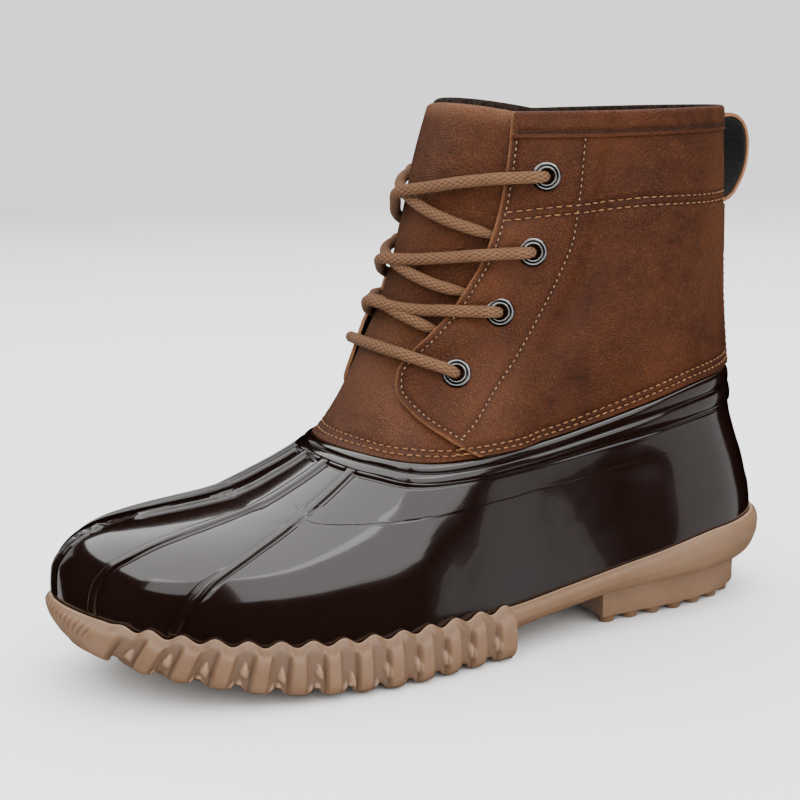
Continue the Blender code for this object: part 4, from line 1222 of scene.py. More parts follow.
def seam_tree(lines, offset_of):
    """All points of some seam lines in a tree that finds the nearest one."""
    places = np.concatenate([proud(angle, z, offset_of(angle, z)) for angle, z in lines])
    tree = KDTree(len(places))
    for k, place in enumerate(places):
        tree.insert(place, k)
    tree.balance()
    return tree


def distances(tree, points, most=0.004):
    """Distance from each point to the nearest seam, up to a most."""
    found = np.full(len(points), most)
    for k, point in enumerate(points):
        _, _, reach = tree.find(point)
        found[k] = min(reach, most)
    return found


print("seam lines:", sum(len(lines) for lines in seams.values()) + len(vamp_seams))

# %% [markdown]
# ## The leather shaft
# The shaft is one hide wrapped round the heel. Its two front edges lie on the tongue and are laced
# together, its top is folded over into a band, and a strip of suede covers the seam at the back.
# The lace that comes out under an edge lifts it a little, which the grid does as well.


# %% Shaft
SHAFT_COLUMNS = 104
SHAFT_ROWS = 118


def shaft_row_angles(z_line):
    """Angles of a row from the outer flap's edge round the back to the inner one."""
    edge = 0.8
    for _ in range(30):
        edge = 0.5 * edge + 0.5 * float(flap_angle(z_line(np.array([edge])))[0])
    near = np.array((0.0, 0.35, 0.9, 1.7, 2.4, 3.2)) * MM / 0.043
    rest = np.linspace(0, 1, SHAFT_COLUMNS)[1:]
    half = np.concatenate([edge + near, edge + near[-1] + (math.pi - edge - near[-1]) * rest])
    return np.concatenate([half, 2 * math.pi - half[-2::-1]])


def make_shaft():
    angles_all, heights_all, lines = [], [], []
    for share in [0.0, 0.004, 0.012, *np.linspace(0.02, 1, SHAFT_ROWS - 22)]:
        lines.append(lambda a, s=share: topline(a) + s * (BAND_LOW - 0.0006 - topline(a)))
    step = BAND_LOW + np.array((-0.0003, 0.0, 0.0004))
    for z in np.concatenate([step, np.linspace(BAND_LOW + 0.001, COLLAR_HEIGHT - COLLAR_ROUND, 13)]):
        lines.append(lambda a, z=z: np.full(len(a), z))
    for line in lines:
        angles = shaft_row_angles(line)
        angles_all.append(angles)
        heights_all.append(line(angles))
    angles, z = np.array(angles_all), np.array(heights_all)
    face = leather_face(angles, z)
    inner = face - LEATHER
    band = ease((z - BAND_LOW + 0.0003) / 0.0006)
    face = face + COLLAR_PROUD * band
    stay = backstay(angles, z)
    face = face + BACKSTAY_PROUD * stay * (1 - band)
    points = proud(angles, z, face)
    groups = [line for sewn in seams.values() for line in sewn]
    tree = seam_tree(groups, lambda a, h: leather_face(a, h) + COLLAR_PROUD * ease((h - BAND_LOW) / 0.0005))
    reach = distances(tree, points.reshape(-1, 3)).reshape(angles.shape)
    face = face - 0.00034 * bump(reach, 0.0011)
    into = (folded(angles) - flap_angle(z)) * 0.043
    hem = np.array([np.linalg.norm(points[k] - points[0], axis=1) for k in range(len(points))])
    round_edge = 0.00045 * (np.clip(1 - into / (0.8 * MM), 0, 1) ** 2 + np.clip(1 - hem / (0.8 * MM), 0, 1) ** 2)
    face = face - round_edge
    inner = inner + 0.3 * round_edge  # the lining side is rounded less than the outer one
    outer_grid, inner_grid = proud(angles, z, face), proud(angles, z, inner)
    # the folded top: the outer face rolls over into the lining
    roll_out, roll_in = [], []
    for turn in np.linspace(0, math.pi / 2, 6)[1:]:
        thick = (face[-1] - inner[-1]) / 2
        up = np.full(len(angles[-1]), COLLAR_HEIGHT - COLLAR_ROUND + COLLAR_ROUND * math.sin(turn))
        roll_out.append(proud(angles[-1], up, inner[-1] + thick + thick * math.cos(turn)))
        roll_in.append(proud(angles[-1], up, inner[-1] + thick - thick * math.cos(turn)))
    outer_grid = np.concatenate([outer_grid, roll_out])
    inner_grid = np.concatenate([inner_grid, roll_in])
    made = grid_wall("leather_shaft", outer_grid, inner_grid, False, (shaft_leather, dark_knit, edge_leather), sharp=50)
    extra = len(roll_out)
    full = lambda values: np.concatenate([values, np.repeat(values[-1:], extra, 0)])
    hair = np.clip(1 - into / (0.7 * MM), 0, 1)
    crest = np.clip(lace_lift(angles, z) / 0.003, 0, 1)
    rear = ease((folded(angles) - 1.9) / 1.0) * ease((z - 0.10) / 0.04)
    low_front = bump((z - 0.098) / 0.02, 1.0) * bump((folded(angles) - 1.0) / 0.25, 1.0)
    pull_up = np.clip(0.75 * rear + 0.45 * low_front + 0.35 * crest, 0, 1)
    # the seam mask holds the groove along each seam and the painted shade in it
    for name, values in (("seam", bump(reach, 0.0011)), ("edge", hair), ("pull_up", pull_up)):
        values = full(values)
        add_mask(made, name, np.concatenate([values.ravel(), values.ravel()]))
    # the suede strip at the back is part of the same wall with its own finish
    made.data.materials.append(stay_suede)
    inside = full((stay > 0.5) & (z < BACKSTAY_TOP - 0.0002))
    rows, columns = inside.shape
    wanted = (inside[:-1, :-1] & inside[1:, 1:]).ravel()
    index = np.zeros(len(made.data.polygons), np.int32)
    made.data.polygons.foreach_get("material_index", index)
    index[: (rows - 1) * (columns - 1)][wanted] = 3
    made.data.polygons.foreach_set("material_index", index)
    return made


shaft = make_shaft()


# %% Eyelet holes through the leather
def eyelet_frames():
    """Place, outward direction and forward direction of each eyelet on the flap's outer face."""
    found = []
    for station, height, _, _ in EYELETS:
        z = np.array(height * COLLAR_HEIGHT)
        for sign in (1, -1):
            angle = sign * angle_at(station, z)
            out = last_normal(angle, z)
            place = proud(angle, z, leather_face(angle, z))
            across = np.cross((0, 0, 1), out)
            across /= np.linalg.norm(across)
            found.append((place, out, across, float(angle), float(z)))
    return found


EYELET_FRAMES = eyelet_frames()
HOLE_RADIUS = 0.0034


def cut_holes(piece):
    """Cuts round holes where the eyelets go. The cutter is removed again."""
    work = bmesh.new()
    for place, out, across, _, _ in EYELET_FRAMES:
        up = np.cross(out, across)
        turn = Matrix([(*row, 0) for row in np.stack([across, up, out], 1)] + [(0, 0, 0, 1)])
        bmesh.ops.create_cone(
            work, cap_ends=True, segments=28, radius1=HOLE_RADIUS, radius2=HOLE_RADIUS, depth=0.008,
            matrix=Matrix.Translation(place) @ turn,
        )
    mesh = bpy.data.meshes.new("hole_cutter")
    work.to_mesh(mesh)
    work.free()
    cutter = bpy.data.objects.new("hole_cutter", mesh)
    bpy.context.scene.collection.objects.link(cutter)
    cut = piece.modifiers.new("holes", "BOOLEAN")
    cut.operation = "DIFFERENCE"
    cut.solver = "EXACT"
    cut.object = cutter
    cut.material_mode = "INDEX"
    graph = bpy.context.evaluated_depsgraph_get()
    plain = bpy.data.meshes.new_from_object(piece.evaluated_get(graph))
    piece.modifiers.remove(cut)
    old = piece.data
    piece.data = plain
    bpy.data.meshes.remove(old)
    bpy.data.objects.remove(cutter)
    bpy.data.meshes.remove(mesh)


cut_holes(shaft)
shaft.data.name = "leather_shaft"
dress(shaft, "brown_leather", "shaft")

# %% [markdown]
# ## Tongue, lining and insole
# The vamp and the tongue are one soft piece that the laces press on. Behind it a dark knit lining
# stands a little higher than the leather, which is the dark line seen along the top in the
# photograph. Both are sheets over the same last, at two depths.


# %% Tongue and its lining
def make_tongue(name, inside, outside, top, half_share, finishes, slot, *nodes):
    shares = np.concatenate([[0.0, 0.003, 0.01], np.linspace(0.02, 1.0, 116)])
    spread = np.linspace(-1, 1, 97)
    angles_all, heights_all = [], []
    for share in shares:
        edge = 1.0
        for _ in range(30):
            foot = float(topline(np.array([edge]))[0])
            edge = 0.5 * edge + 0.5 * float(tongue_angle((foot + share * (top - foot)) / COLLAR_HEIGHT))
        angles = edge * half_share * spread
        line = topline(angles)
        angles_all.append(angles)
        heights_all.append(line + share * (top - TONGUE_ROUND * (angles / edge) ** 2 - line))
    angles, z = np.array(angles_all), np.array(heights_all)
    sag = 0 * z
    for *_, middle in EYELETS[:3]:
        sag = np.maximum(sag, 0.0005 * bump(z - middle * COLLAR_HEIGHT, 0.010))
    swell = waves(angles, z + 0.03) * ease((z - topline(angles)) / 0.02) * ease((top - z) / 0.004)
    face = outside - sag + np.minimum(swell, 0.1 * MM)
    back_face = inside + 0 * face - sag
    tree = seam_tree(vamp_seams, lambda a, h: np.full(len(a), outside))
    points = proud(angles, z, face)
    reach = distances(tree, points.reshape(-1, 3)).reshape(angles.shape)
    face = face - 0.0003 * bump(reach, 0.0011)
    top_gap = top - TONGUE_ROUND * (angles / angles[:, -1:]) ** 2 - z
    thick = face - back_face
    round_top = np.sqrt(np.clip(1 - (1 - np.clip(top_gap / 0.0012, 0, 1)) ** 2, 0, 1))
    middle_face = (face + back_face) / 2
    face = middle_face + thick / 2 * np.maximum(round_top, 0.15)
    back_face = middle_face - thick / 2 * np.maximum(round_top, 0.15)
    outer, inner = proud(angles, z, face), proud(angles, z, back_face)
    made = grid_wall(name, outer, inner, False, finishes, sharp=50)
    pull_up = 0.9 * bump(top_gap - 0.001, 0.0035) + 0.35 * bump(z - 0.098, 0.012) + 0.25 * bump(z - 0.118, 0.008)
    # the seam mask holds the groove along each seam and the painted shade in it
    for label, values in (("seam", bump(reach, 0.0011)), ("edge", 0 * z), ("pull_up", np.clip(pull_up, 0, 1))):
        add_mask(made, label, np.concatenate([values.ravel(), values.ravel()]))
    return dress(made, slot, *nodes)


make_tongue(
    "leather_tongue", LEATHER_IN, LEATHER_IN + LEATHER, TONGUE_HEIGHT - 0.0026, 1.0,
    (tongue_leather, dark_knit, edge_leather), "brown_leather", "tongue",
)
make_tongue(
    "tongue_lining", LEATHER_IN - 0.0024, LEATHER_IN - 0.0002, TONGUE_HEIGHT, 0.97,
    (dark_knit, dark_knit, dark_knit), "insole_felt",
)


# %% Insole
def make_insole():
    """A felt bed that follows the tray, a little thicker in the middle than at its edge."""
    angles = np.linspace(0, 2 * math.pi, 160, endpoint=False)
    z = settle(footbed_height, angles)
    rim = last_point(angles, z + 0.0033)
    out = last_normal(angles, z + 0.0033) * (1, 1, 0)
    out /= np.linalg.norm(out, axis=1, keepdims=True)
    rim = rim - out * (SHELL_WALL + 3 * LAP_GAP)
    spine = np.stack([0 * angles, rim[:, 1], 0 * angles], -1)
    rings = []
    # share of the way from the middle line to the rim, drop below the top in mm
    profile = ((1.0, 2.9), (1.0, 1.2), (0.985, 0.45), (0.95, 0.1), (0.85, 0.0), (0.65, 0.0), (0.4, 0.0), (0.15, 0.0))
    for share, drop in profile:
        ring = rim * share + spine * (1 - share)
        ring[:, 2] = footbed_height(ring[:, 1]) + 0.0036 - drop * MM
        rings.append(ring)
    count = len(angles)
    vertices = np.concatenate(rings)
    faces = quads(closed_grid(len(rings), count)).tolist()
    last = (len(rings) - 1) * count
    for base, flip in ((0, True), (last, False)):
        for k in range(count // 2):
            a, b, c, d = base + k, base + k + 1, base + (count - k - 1) % count, base + (count - k) % count
            face = [v for n, v in enumerate((a, b, c, d)) if v not in (a, b, c, d)[:n]]
            if len(face) > 2:
                faces.append(face[::-1] if flip else face)
    made = new_piece("felt_insole", vertices, faces, [felt_finish], sharp=0)
    face_outwards(made)
    return dress(made, "insole_felt", "insole")


make_insole()

# %% [markdown]
# ## The gum sole
# The real sole is one casting of raw gum rubber. Twelve rounded bars stand along each side of the
# forefoot and lean more the nearer they are to the toe, little drops of rubber sit beside them, and
# a thin lip waves over their tops with a beat of its own. Behind them runs a smooth rand. The side
# is a grid over distance along the edge and depth below the lip, so every form on it is a height
# above that grid, and the tread is a second height field that joins it under the foot.

# %% Sole measurements
TRAY_GAP = 0.0008
RIM_PROUD = 0.0019
LUG_PROUD = 0.0027
TOE_SPRING = 0.0220
TOE_TUCK = 0.0065
TOE_CURL = 0.104
RAND_UNDERSIDE = 0.0165
RAND_FLARE = 0.0012
BAR_COUNT = 12
BUMPER_LENGTH = 0.0445
LUG_END = 0.535
LUG_NOTCH = 0.0030
BAR_LEAN = 0.017
LEAN_END = 0.105
LIP_WAVE = 0.0012
LIP_PITCH = 0.0111
LIP_LAST_CREST = 0.1806
HEEL_BREAST = 0.703
HEEL_INSET = 0.0065
STUD_RADIUS = 0.0034
STUD_HEIGHT = 0.0028
STUD_PITCH = 0.0105
HEEL_PAD = (0.026, 0.036)

TREAD = (
    # station, share of TOE_SPRING
    (0.000, 0.82),
    (0.060, 0.60),
    (0.130, 0.39),
    (0.230, 0.15),
    (0.330, 0.03),
    (0.380, 0.00),
    (0.560, 0.00),
)
ARCH = (
    # station, share of RAND_UNDERSIDE
    (0.540, 0.56),
    (0.620, 0.72),
    (0.700, 0.88),
    (0.800, 0.97),
    (1.000, 1.00),
)
SIDE_PROFILE = (
    # depth, bar, lean, swell of the smooth rand
    (0.00, 0.00, 0.00, 0.0),
    (0.04, 0.10, 0.02, 0.3),
    (0.08, 0.38, 0.05, 0.6),
    (0.14, 0.74, 0.10, 0.8),
    (0.24, 0.94, 0.22, 1.0),
    (0.48, 1.02, 0.48, 0.8),
    (0.70, 0.96, 0.72, -0.2),
    (0.84, 0.72, 0.87, -1.1),
    (0.94, 0.25, 0.95, -2.1),
    (1.00, -0.30, 1.00, -3.0),
)
tread_height = height_line(TREAD, TOE_SPRING)
rand_underside = height_line(ARCH, RAND_UNDERSIDE)
bar_relief, bar_lean, rand_swell = (smooth_curve(SIDE_PROFILE, column) for column in (1, 2, 3))

# %% The sole's outline in plan
class SoleEdge:
    """One side of the sole's outline, from toe tip to heel tip, by distance along it."""

    def __init__(self, side):
        angles = side * np.linspace(0, math.pi, 1200)
        z = np.full(len(angles), 0.8 * RIM_HEIGHT)
        for _ in range(12):
            z = rim_height(last_point(angles, z)[..., 1]) + 0.0013
        self.points = last_point(angles, z)[:, :2]
        self.run = run_along(self.points)
        tangent = np.gradient(self.points, axis=0)
        tangent /= np.linalg.norm(tangent, axis=1, keepdims=True)
        self.outward = side * np.stack([tangent[:, 1], -tangent[:, 0]], -1)
        self.outward[0] = (0, -1)
        self.outward[-1] = (0, 1)
        self.length = self.run[-1]
        self.lug_end = float(np.interp(LUG_END, self.points[:, 1] / LAST_LENGTH + 0.5, self.run))

    def at(self, distance):
        place = np.stack([np.interp(distance, self.run, self.points[:, k]) for k in (0, 1)], -1)
        out = np.stack([np.interp(distance, self.run, self.outward[:, k]) for k in (0, 1)], -1)
        return place, out / np.linalg.norm(out, axis=-1, keepdims=True)


# %% Forms on the sole's side
def bar_height(distance, lug_end):
    """Height of the bars along the edge: a sharp side to the toe, a softer one behind. The toe bumper
    is one long bar and the last bar runs into the step at the rand."""
    pitch = (lug_end - BUMPER_LENGTH) / BAR_COUNT
    place = (distance - BUMPER_LENGTH) / pitch
    within = place % 1.0
    bars = ease((within - 0.33) / 0.10) * np.where(place > BAR_COUNT - 0.5, 1, ease((0.87 - within) / 0.13))
    return np.where(place > 0, bars, ease((0.0405 - distance) / 0.0035))


def bar_bottom(distance, lug_end):
    """How far the round foot of each bar reaches down, from 0 between bars to 1."""
    place = (distance - BUMPER_LENGTH) / ((lug_end - BUMPER_LENGTH) / BAR_COUNT)
    within = place % 1.0
    bars = np.sqrt(np.clip(1 - ((within - 0.585) / 0.40) ** 2, 0, 1))
    bars = np.where(place > BAR_COUNT - 0.415, 1, bars)
    return np.where(place > 0, bars, ease((0.0405 - distance) / 0.0035))


def drop(across, down, length, width):
    """A drop of rubber: round at its foot and drawn to a point at its top."""
    taper = width * (0.70 + 0.30 * ease((down + length) / (1.3 * length)))
    size = np.sqrt((across / taper) ** 2 + (down / length) ** 2)
    return np.sqrt(np.clip(1 - size**2, 0, 1))


def side_forms(distance, depth, height, lug_end):
    """Bars, drops, cuts and creases at distances along the edge and shares of depth."""
    pitch = (lug_end - BUMPER_LENGTH) / BAR_COUNT
    place = (distance - BUMPER_LENGTH) / pitch
    index = np.floor(place)
    within = place - index
    on_bars = (distance > BUMPER_LENGTH) & (distance < lug_end - 1e-6)
    bar = bar_height(distance, lug_end)
    down = depth * height
    rear = index >= 7
    middle = np.where(rear, 0.60, np.where(index == 6, 0.80, np.where(index % 2 == 0, 0.66, 0.58))) * height
    shift = np.where(rear, 0.30, 0.17) * pitch
    drops = 0.0017 * drop(within * pitch - shift, down - middle, 0.0031, 0.00130)
    behind = 0.0017 * drop((within - 0.93) * pitch, down - 0.88 * height, 0.0014, 0.0011)
    before = 0.0017 * drop((within - 0.12) * pitch, down - 0.92 * height, 0.0012, 0.0012)
    drops = np.maximum(drops, np.where(rear, 0, np.maximum(behind, np.where(index > 1, before, 0)))) * on_bars
    # fine slanting cuts across the upper part of the toe bumper
    slant = distance + 0.0075 * depth * ease(distance / 0.02)
    cuts = bump(((slant / 0.0031 + 0.5) % 1.0 - 0.5) * 0.0031, 0.00030)
    cuts = cuts * ease((0.031 - distance) / 0.006) * ease((depth - 0.05) / 0.05) * ease((0.46 - depth) / 0.10)
    crease = bump((within - 0.335) * pitch, 0.00030) * on_bars * ease((depth - 0.16) / 0.12)
    crease = np.maximum(crease, bump(distance - 0.0400, 0.0004) * ease((depth - 0.2) / 0.2))
    return bar, drops, cuts, crease


def lip_wave(distance):
    """The lip rises and falls along the bars. It starts small behind the toe bumper."""
    wave = np.cos(2 * math.pi * ((distance - LIP_LAST_CREST) / LIP_PITCH))
    return LIP_WAVE * wave * ease((distance - 0.027) / 0.02)


def sole_side(edge, distance, depth, lugged):
    """Points of the sole's side and the masks that its finish reads."""
    upright = np.clip(1 - distance / LEAN_END, 0, 1) * ease(distance / BUMPER_LENGTH - 0.1)
    place, out = edge.at(np.maximum(distance - BAR_LEAN * bar_lean(depth) * upright * lugged, 0.0))
    y = place[..., 1]
    curl = np.clip(1 - distance / TOE_CURL, 0, 1)
    top_line = rim_height(y) + np.where(lugged, lip_wave(distance), 0)
    low_line = np.where(lugged, tread_height(y), rand_underside(y))
    bar, drops, cuts, crease = side_forms(distance, depth, top_line - low_line, edge.lug_end)
    low_line = low_line + np.where(lugged, LUG_NOTCH * (1 - bar_bottom(distance, edge.lug_end)), 0)
    offset = TRAY_GAP + RIM_PROUD * (0.38 + 0.62 * ease(depth / 0.14)) - TOE_TUCK * curl * depth**2
    lug = LUG_PROUD * bar_relief(depth) * (bar * ease(distance / BUMPER_LENGTH) + 0.35 * (1 - curl * 0.5))
    lug = lug + drops - 0.00070 * cuts - 0.00045 * crease
    ledge = 0.00035 * ease((depth - 0.075) / 0.03)
    offset = offset + np.where(lugged, lug, RAND_FLARE * rand_swell(depth) - ledge)
    height = top_line + (low_line - top_line) * depth
    points = np.concatenate([place + out * offset[..., None], height[..., None]], -1)
    filled = np.maximum(bar, np.minimum(drops / 0.0009, 1))
    # painted shade in the valleys; the creases and cuts get painted shade in the second mask
    valley_shade = (1 - filled) * ease((depth - 0.03) / 0.08) * lugged
    # the drops are painted paler
    pale = 0.45 * np.minimum(drops / 0.001, 1) * lugged
    return points, (valley_shade, np.maximum(cuts, 0.8 * crease) * lugged, pale)


# %% Sole mesh
SIDE_DEPTHS = [0.0, 0.012, 0.03, 0.055, 0.085, *np.linspace(0.115, 0.90, 27), 0.93, 0.955, 0.975, 0.99, 1.0]
BUMPER_COLUMNS = 92
BAR_COLUMNS = 24
STEP_COLUMNS = 4
RAND_COLUMNS = 105
ACROSS = 34
LIP_ROUND = (
    # distance out of the tray and below the crest, in mm
    (0.00, 4.0),
    (-0.35, 2.0),
    (-0.68, 0.6),
    (-0.62, 0.10),
    (-0.25, -0.08),
    (0.35, -0.04),
)


def make_sole():
    edges = [SoleEdge(1), SoleEdge(-1)]
    runs, lugs = [], []
    for edge in edges:
        bumper = np.linspace(0, BUMPER_LENGTH, BUMPER_COLUMNS + 1)
        bars = np.linspace(BUMPER_LENGTH, edge.lug_end, BAR_COLUMNS * BAR_COUNT + 1)[1:]
        step = edge.lug_end + np.linspace(0, 0.0009, STEP_COLUMNS + 1)[1:]
        rand = np.linspace(step[-1], edge.length, RAND_COLUMNS + 1)[1:]
        runs.append(np.concatenate([bumper, bars, step, rand]))
        lugs.append(runs[-1] <= edge.lug_end)

    # each ring goes from the toe tip round the outer side to the heel tip and back along the inner side
    def ring(pick):
        outer = pick(edges[0], runs[0], lugs[0])
        inner = pick(edges[1], runs[1], lugs[1])
        return np.concatenate([outer, inner[-2:0:-1]])

    def tray(offset, drop_below_top, floor=False):
        def pick(edge, distance, lugged):
            place, out = edge.at(distance)
            top, _ = sole_side(edge, distance, np.zeros_like(distance), lugged)
            height = footbed_height(place[:, 1]) if floor else top[:, 2] - drop_below_top
            return np.concatenate([place + out * offset, height[:, None]], 1)

        return pick

    rings = [ring(tray(TRAY_GAP, 0, True))]
    for offset, below in LIP_ROUND:
        rings.append(ring(tray(TRAY_GAP + offset * MM, below * MM)))
    masks = [[np.zeros(len(rings[0]))] * len(rings) for _ in range(3)]
    for depth in SIDE_DEPTHS[1:]:
        rings.append(ring(lambda e, d, l: sole_side(e, d, np.full(len(d), depth), l)[0]))
        for number, kept in enumerate(masks):
            kept.append(ring(lambda e, d, l: sole_side(e, d, np.full(len(d), depth), l)[1][number]))
    count = len(rings[0])
    points = list(np.concatenate(rings))
    index = closed_grid(len(rings), count)
    faces = quads(index).tolist()
    half = len(runs[0]) - 1
    outer_line = index[-1, : half + 1]
    inner_line = np.concatenate([[index[-1, 0]], index[-1, count - 1 : half - 1 : -1]])
    # the tread: rows between the two edges, with the bars' notches running on as waves across the sole
    shares = np.linspace(0, 1, ACROSS + 1)[1:-1]
    start = len(points)
    below = []
    base = np.array(points)
    last_ring = base[index[-1]]
    pitch = (edges[0].lug_end - BUMPER_LENGTH) / BAR_COUNT
    for k in range(1, half):
        a, b = last_ring[k], base[inner_line[k]]
        line = a + (b - a) * shares[:, None]
        if lugs[0][k]:
            inwards = np.minimum(shares, 1 - shares)
            wave = 0.30 * pitch * np.sin(2 * math.pi * 2.5 * shares) * ease(inwards / 0.12)
            bar = bar_bottom(np.minimum(runs[0][k] + wave, edges[0].lug_end), edges[0].lug_end)
            line[:, 2] = tread_height(line[:, 1]) + LUG_NOTCH * (1 - bar)
        below.append(line)
    points += list(np.concatenate(below))
    middle = start + np.arange((half - 1) * len(shares)).reshape(half - 1, len(shares))
    middle = np.concatenate([outer_line[1:-1, None], middle, inner_line[1:half, None]], 1)
    faces += quads(middle).tolist()
    toe, heel = int(outer_line[0]), int(outer_line[-1])
    faces += [[toe, int(middle[0, j]), int(middle[0, j + 1])] for j in range(middle.shape[1] - 1)]
    faces += [[int(middle[-1, j]), heel, int(middle[-1, j + 1])] for j in range(middle.shape[1] - 1)]
    # the tray's floor under the insole
    floor_outer = index[0, : half + 1]
    floor_inner = np.concatenate([[index[0, 0]], index[0, count - 1 : half - 1 : -1]])
    for k in range(half):
        face = [floor_outer[k], floor_inner[k], floor_inner[k + 1], floor_outer[k + 1]]
        faces.append([int(v) for n, v in enumerate(face) if v not in face[:n]])
    made = new_piece("gum_sole", points, faces, [gum_finish], sharp=0)
    face_outwards(made)
    # masks: a painted highlight along the lip's crest, painted shade in the valleys, beside the bars and in the cuts
    masks = np.array(masks)
    masks[2, 4:7] = 0.8
    under = np.array(points[start:])
    # painted shade in the notches of the tread
    in_tread = ease((under[:, 2] - tread_height(under[:, 1])) / LUG_NOTCH)
    in_tread = in_tread * (under[:, 1] < (LUG_END - 0.5) * LAST_LENGTH)
    for name, on_side, on_tread in zip(("valley_shade", "crease_and_cut_shade", "lip"), masks, (in_tread, 0 * in_tread, 0 * in_tread)):
        add_mask(made, name, np.concatenate([on_side.ravel(), on_tread]))
    dress(made, "gum_rubber", "outsole")
    return edges


sole_edges = make_sole()

# %% [markdown]
# ## The heel block and its studs
# The heel block is set in from the rand and stands on round studs that run round its edge. The block
# is a short loft, wider at its top. The studs are one small turned shape that Geometry Nodes place
# at points along the edge, which is the usual way to repeat a form without copying its mesh by hand.


# %% Heel block
def heel_line(inset, breast, count):
    """Points round the heel at an inset from the sole's edge, from the breast's outer end to its inner end."""
    line = []
    for edge, order in zip(sole_edges, (1, -1)):
        distances = np.linspace(0, edge.length, 900)
        place, out = edge.at(distances)
        side = place - out * inset
        line += list(side[side[:, 1] > breast][::order])
    line = np.array(line)
    run = run_along(line)
    wanted = np.linspace(0, run[-1], count)
    return np.stack([np.interp(wanted, run, line[:, k]) for k in (0, 1)], -1), run[-1]


def loft(name, outlines, finish, sharp=35):
    """A closed solid through outlines of equal length, from the lowest up."""
    count = len(outlines[0])
    points = np.concatenate(outlines)
    index = closed_grid(len(outlines), count)
    faces = quads(index).tolist() + [list(index[0, :-1][::-1]), list(index[-1, :-1])]
    made = new_piece(name, points, faces, [finish], sharp=sharp)
    face_outwards(made, split=True)
    return made


def make_heel():
    breast = (HEEL_BREAST - 0.5) * LAST_LENGTH
    outlines = []
    for inset, height in ((0.6, 0.0), (0.15, 0.25), (0.0, 0.7), (-0.1, 6.0), (-0.5, 12.5), (-0.9, 14.7)):
        around, _ = heel_line(HEEL_INSET + inset * MM, breast + 0.4 * inset * MM, 150)
        front = np.linspace(around[-1], around[0], 24)[1:-1]
        outline = np.concatenate([around, front])
        outlines.append(np.concatenate([outline, np.full((len(outline), 1), STUD_HEIGHT + height * MM)], 1))
    block = loft("gum_heel", outlines, gum_finish)
    middle = (breast + LAST_LENGTH / 2 - HEEL_INSET) / 2
    pads = []
    for grow, height in ((-0.5, 0.0), (0.0, 0.5), (0.3, 3.6)):
        turn = np.linspace(0, 2 * math.pi, 64, endpoint=False)
        squarish = [np.sign(f) * np.abs(f) ** 0.35 for f in (np.cos(turn), np.sin(turn))]
        across, ahead = (way * (size / 2 + grow * MM) for way, size in zip(squarish, HEEL_PAD))
        pads.append(np.stack([across, middle + ahead, 0 * turn + height * MM], -1))
    pad = loft("gum_heel_pad", pads, gum_finish)
    for made in (block, pad):
        dress(made, "gum_rubber", "outsole")


make_heel()


# %% A node tree for repeated shapes
def growing_tree(name, *inputs):
    """A geometry node tree with inputs of a name, a kind and a value to start with."""
    tree = bpy.data.node_groups.new(name, "GeometryNodeTree")
    for label, kind, start in (("Geometry", "Geometry", None), *inputs):
        socket = tree.interface.new_socket(label, in_out="INPUT", socket_type="NodeSocket" + kind)
        if start is not None:
            socket.default_value = start
    tree.interface.new_socket("Geometry", in_out="OUTPUT", socket_type="NodeSocketGeometry")
    nodes = Graph(tree)
    return tree, nodes, nodes.add("NodeGroupInput").outputs


def direction(nodes, name):
    return nodes.add("GeometryNodeInputNamedAttribute", {"Name": name}, data_type="FLOAT_VECTOR").outputs[0]


def facing(nodes, ahead):
    """A turn that lays X along a direction and points Z out of the surface."""
    out = direction(nodes, "out")
    turned = nodes.add("FunctionNodeAlignEulerToVector", {"Vector": ahead}, axis="X").outputs[0]
    inputs = {"Rotation": turned, "Vector": out}
    return nodes.add("FunctionNodeAlignEulerToVector", inputs, axis="Z", pivot_axis="X").outputs[0]


def placing_tree(name):
    """Places a shape at every point of a mesh and turns it by the point's own direction."""
    tree, nodes, given = growing_tree(
        name, ("Shape", "Object", None), ("Finish", "Material", None), ("Size", "Float", 1.0)
    )
    turn = facing(nodes, direction(nodes, "ahead"))
    shape = nodes.add("GeometryNodeObjectInfo", {"Object": given["Shape"]}).outputs["Geometry"]
    points = nodes.add("GeometryNodeMeshToPoints", {"Mesh": given["Geometry"]}).outputs[0]
    placed = nodes.add(
        "GeometryNodeInstanceOnPoints",
        {"Points": points, "Instance": shape, "Rotation": turn, "Scale": given["Size"]},
    ).outputs[0]
    real = nodes.add("GeometryNodeRealizeInstances", {"Geometry": placed}).outputs[0]
    finished = nodes.add("GeometryNodeSetMaterial", {"Geometry": real, "Material": given["Finish"]}).outputs[0]
    nodes.add("NodeGroupOutput", {"Geometry": finished})
    return tree


def socket_named(tree, name):
    return next(i.identifier for i in tree.interface.items_tree if i.name == name and i.in_out == "INPUT")


def grown(name, carrier_mesh, tree, **inputs):
    """Runs a node tree on a mesh and keeps the result as a plain object."""
    carrier = bpy.data.objects.new(name, carrier_mesh)
    bpy.context.scene.collection.objects.link(carrier)
    modifier = carrier.modifiers.new("grow", "NODES")
    modifier.node_group = tree
    for key, value in inputs.items():
        modifier[socket_named(tree, key.replace("_", " "))] = value
    graph = bpy.context.evaluated_depsgraph_get()
    mesh = bpy.data.meshes.new_from_object(carrier.evaluated_get(graph))
    carrier.modifiers.clear()
    carrier.data = mesh
    mesh.name = name
    bpy.data.meshes.remove(carrier_mesh)
    return carrier


def point_mesh(name, places, outs, aheads):
    """Points that carry the directions the placing tree reads."""
    mesh = bpy.data.meshes.new(name)
    mesh.from_pydata(np.asarray(places, float).tolist(), [], [])
    for label, values in (("out", outs), ("ahead", aheads)):
        attribute = mesh.attributes.new(label, "FLOAT_VECTOR", "POINT")
        attribute.data.foreach_set("vector", np.asarray(values, np.float32).ravel())
    return mesh


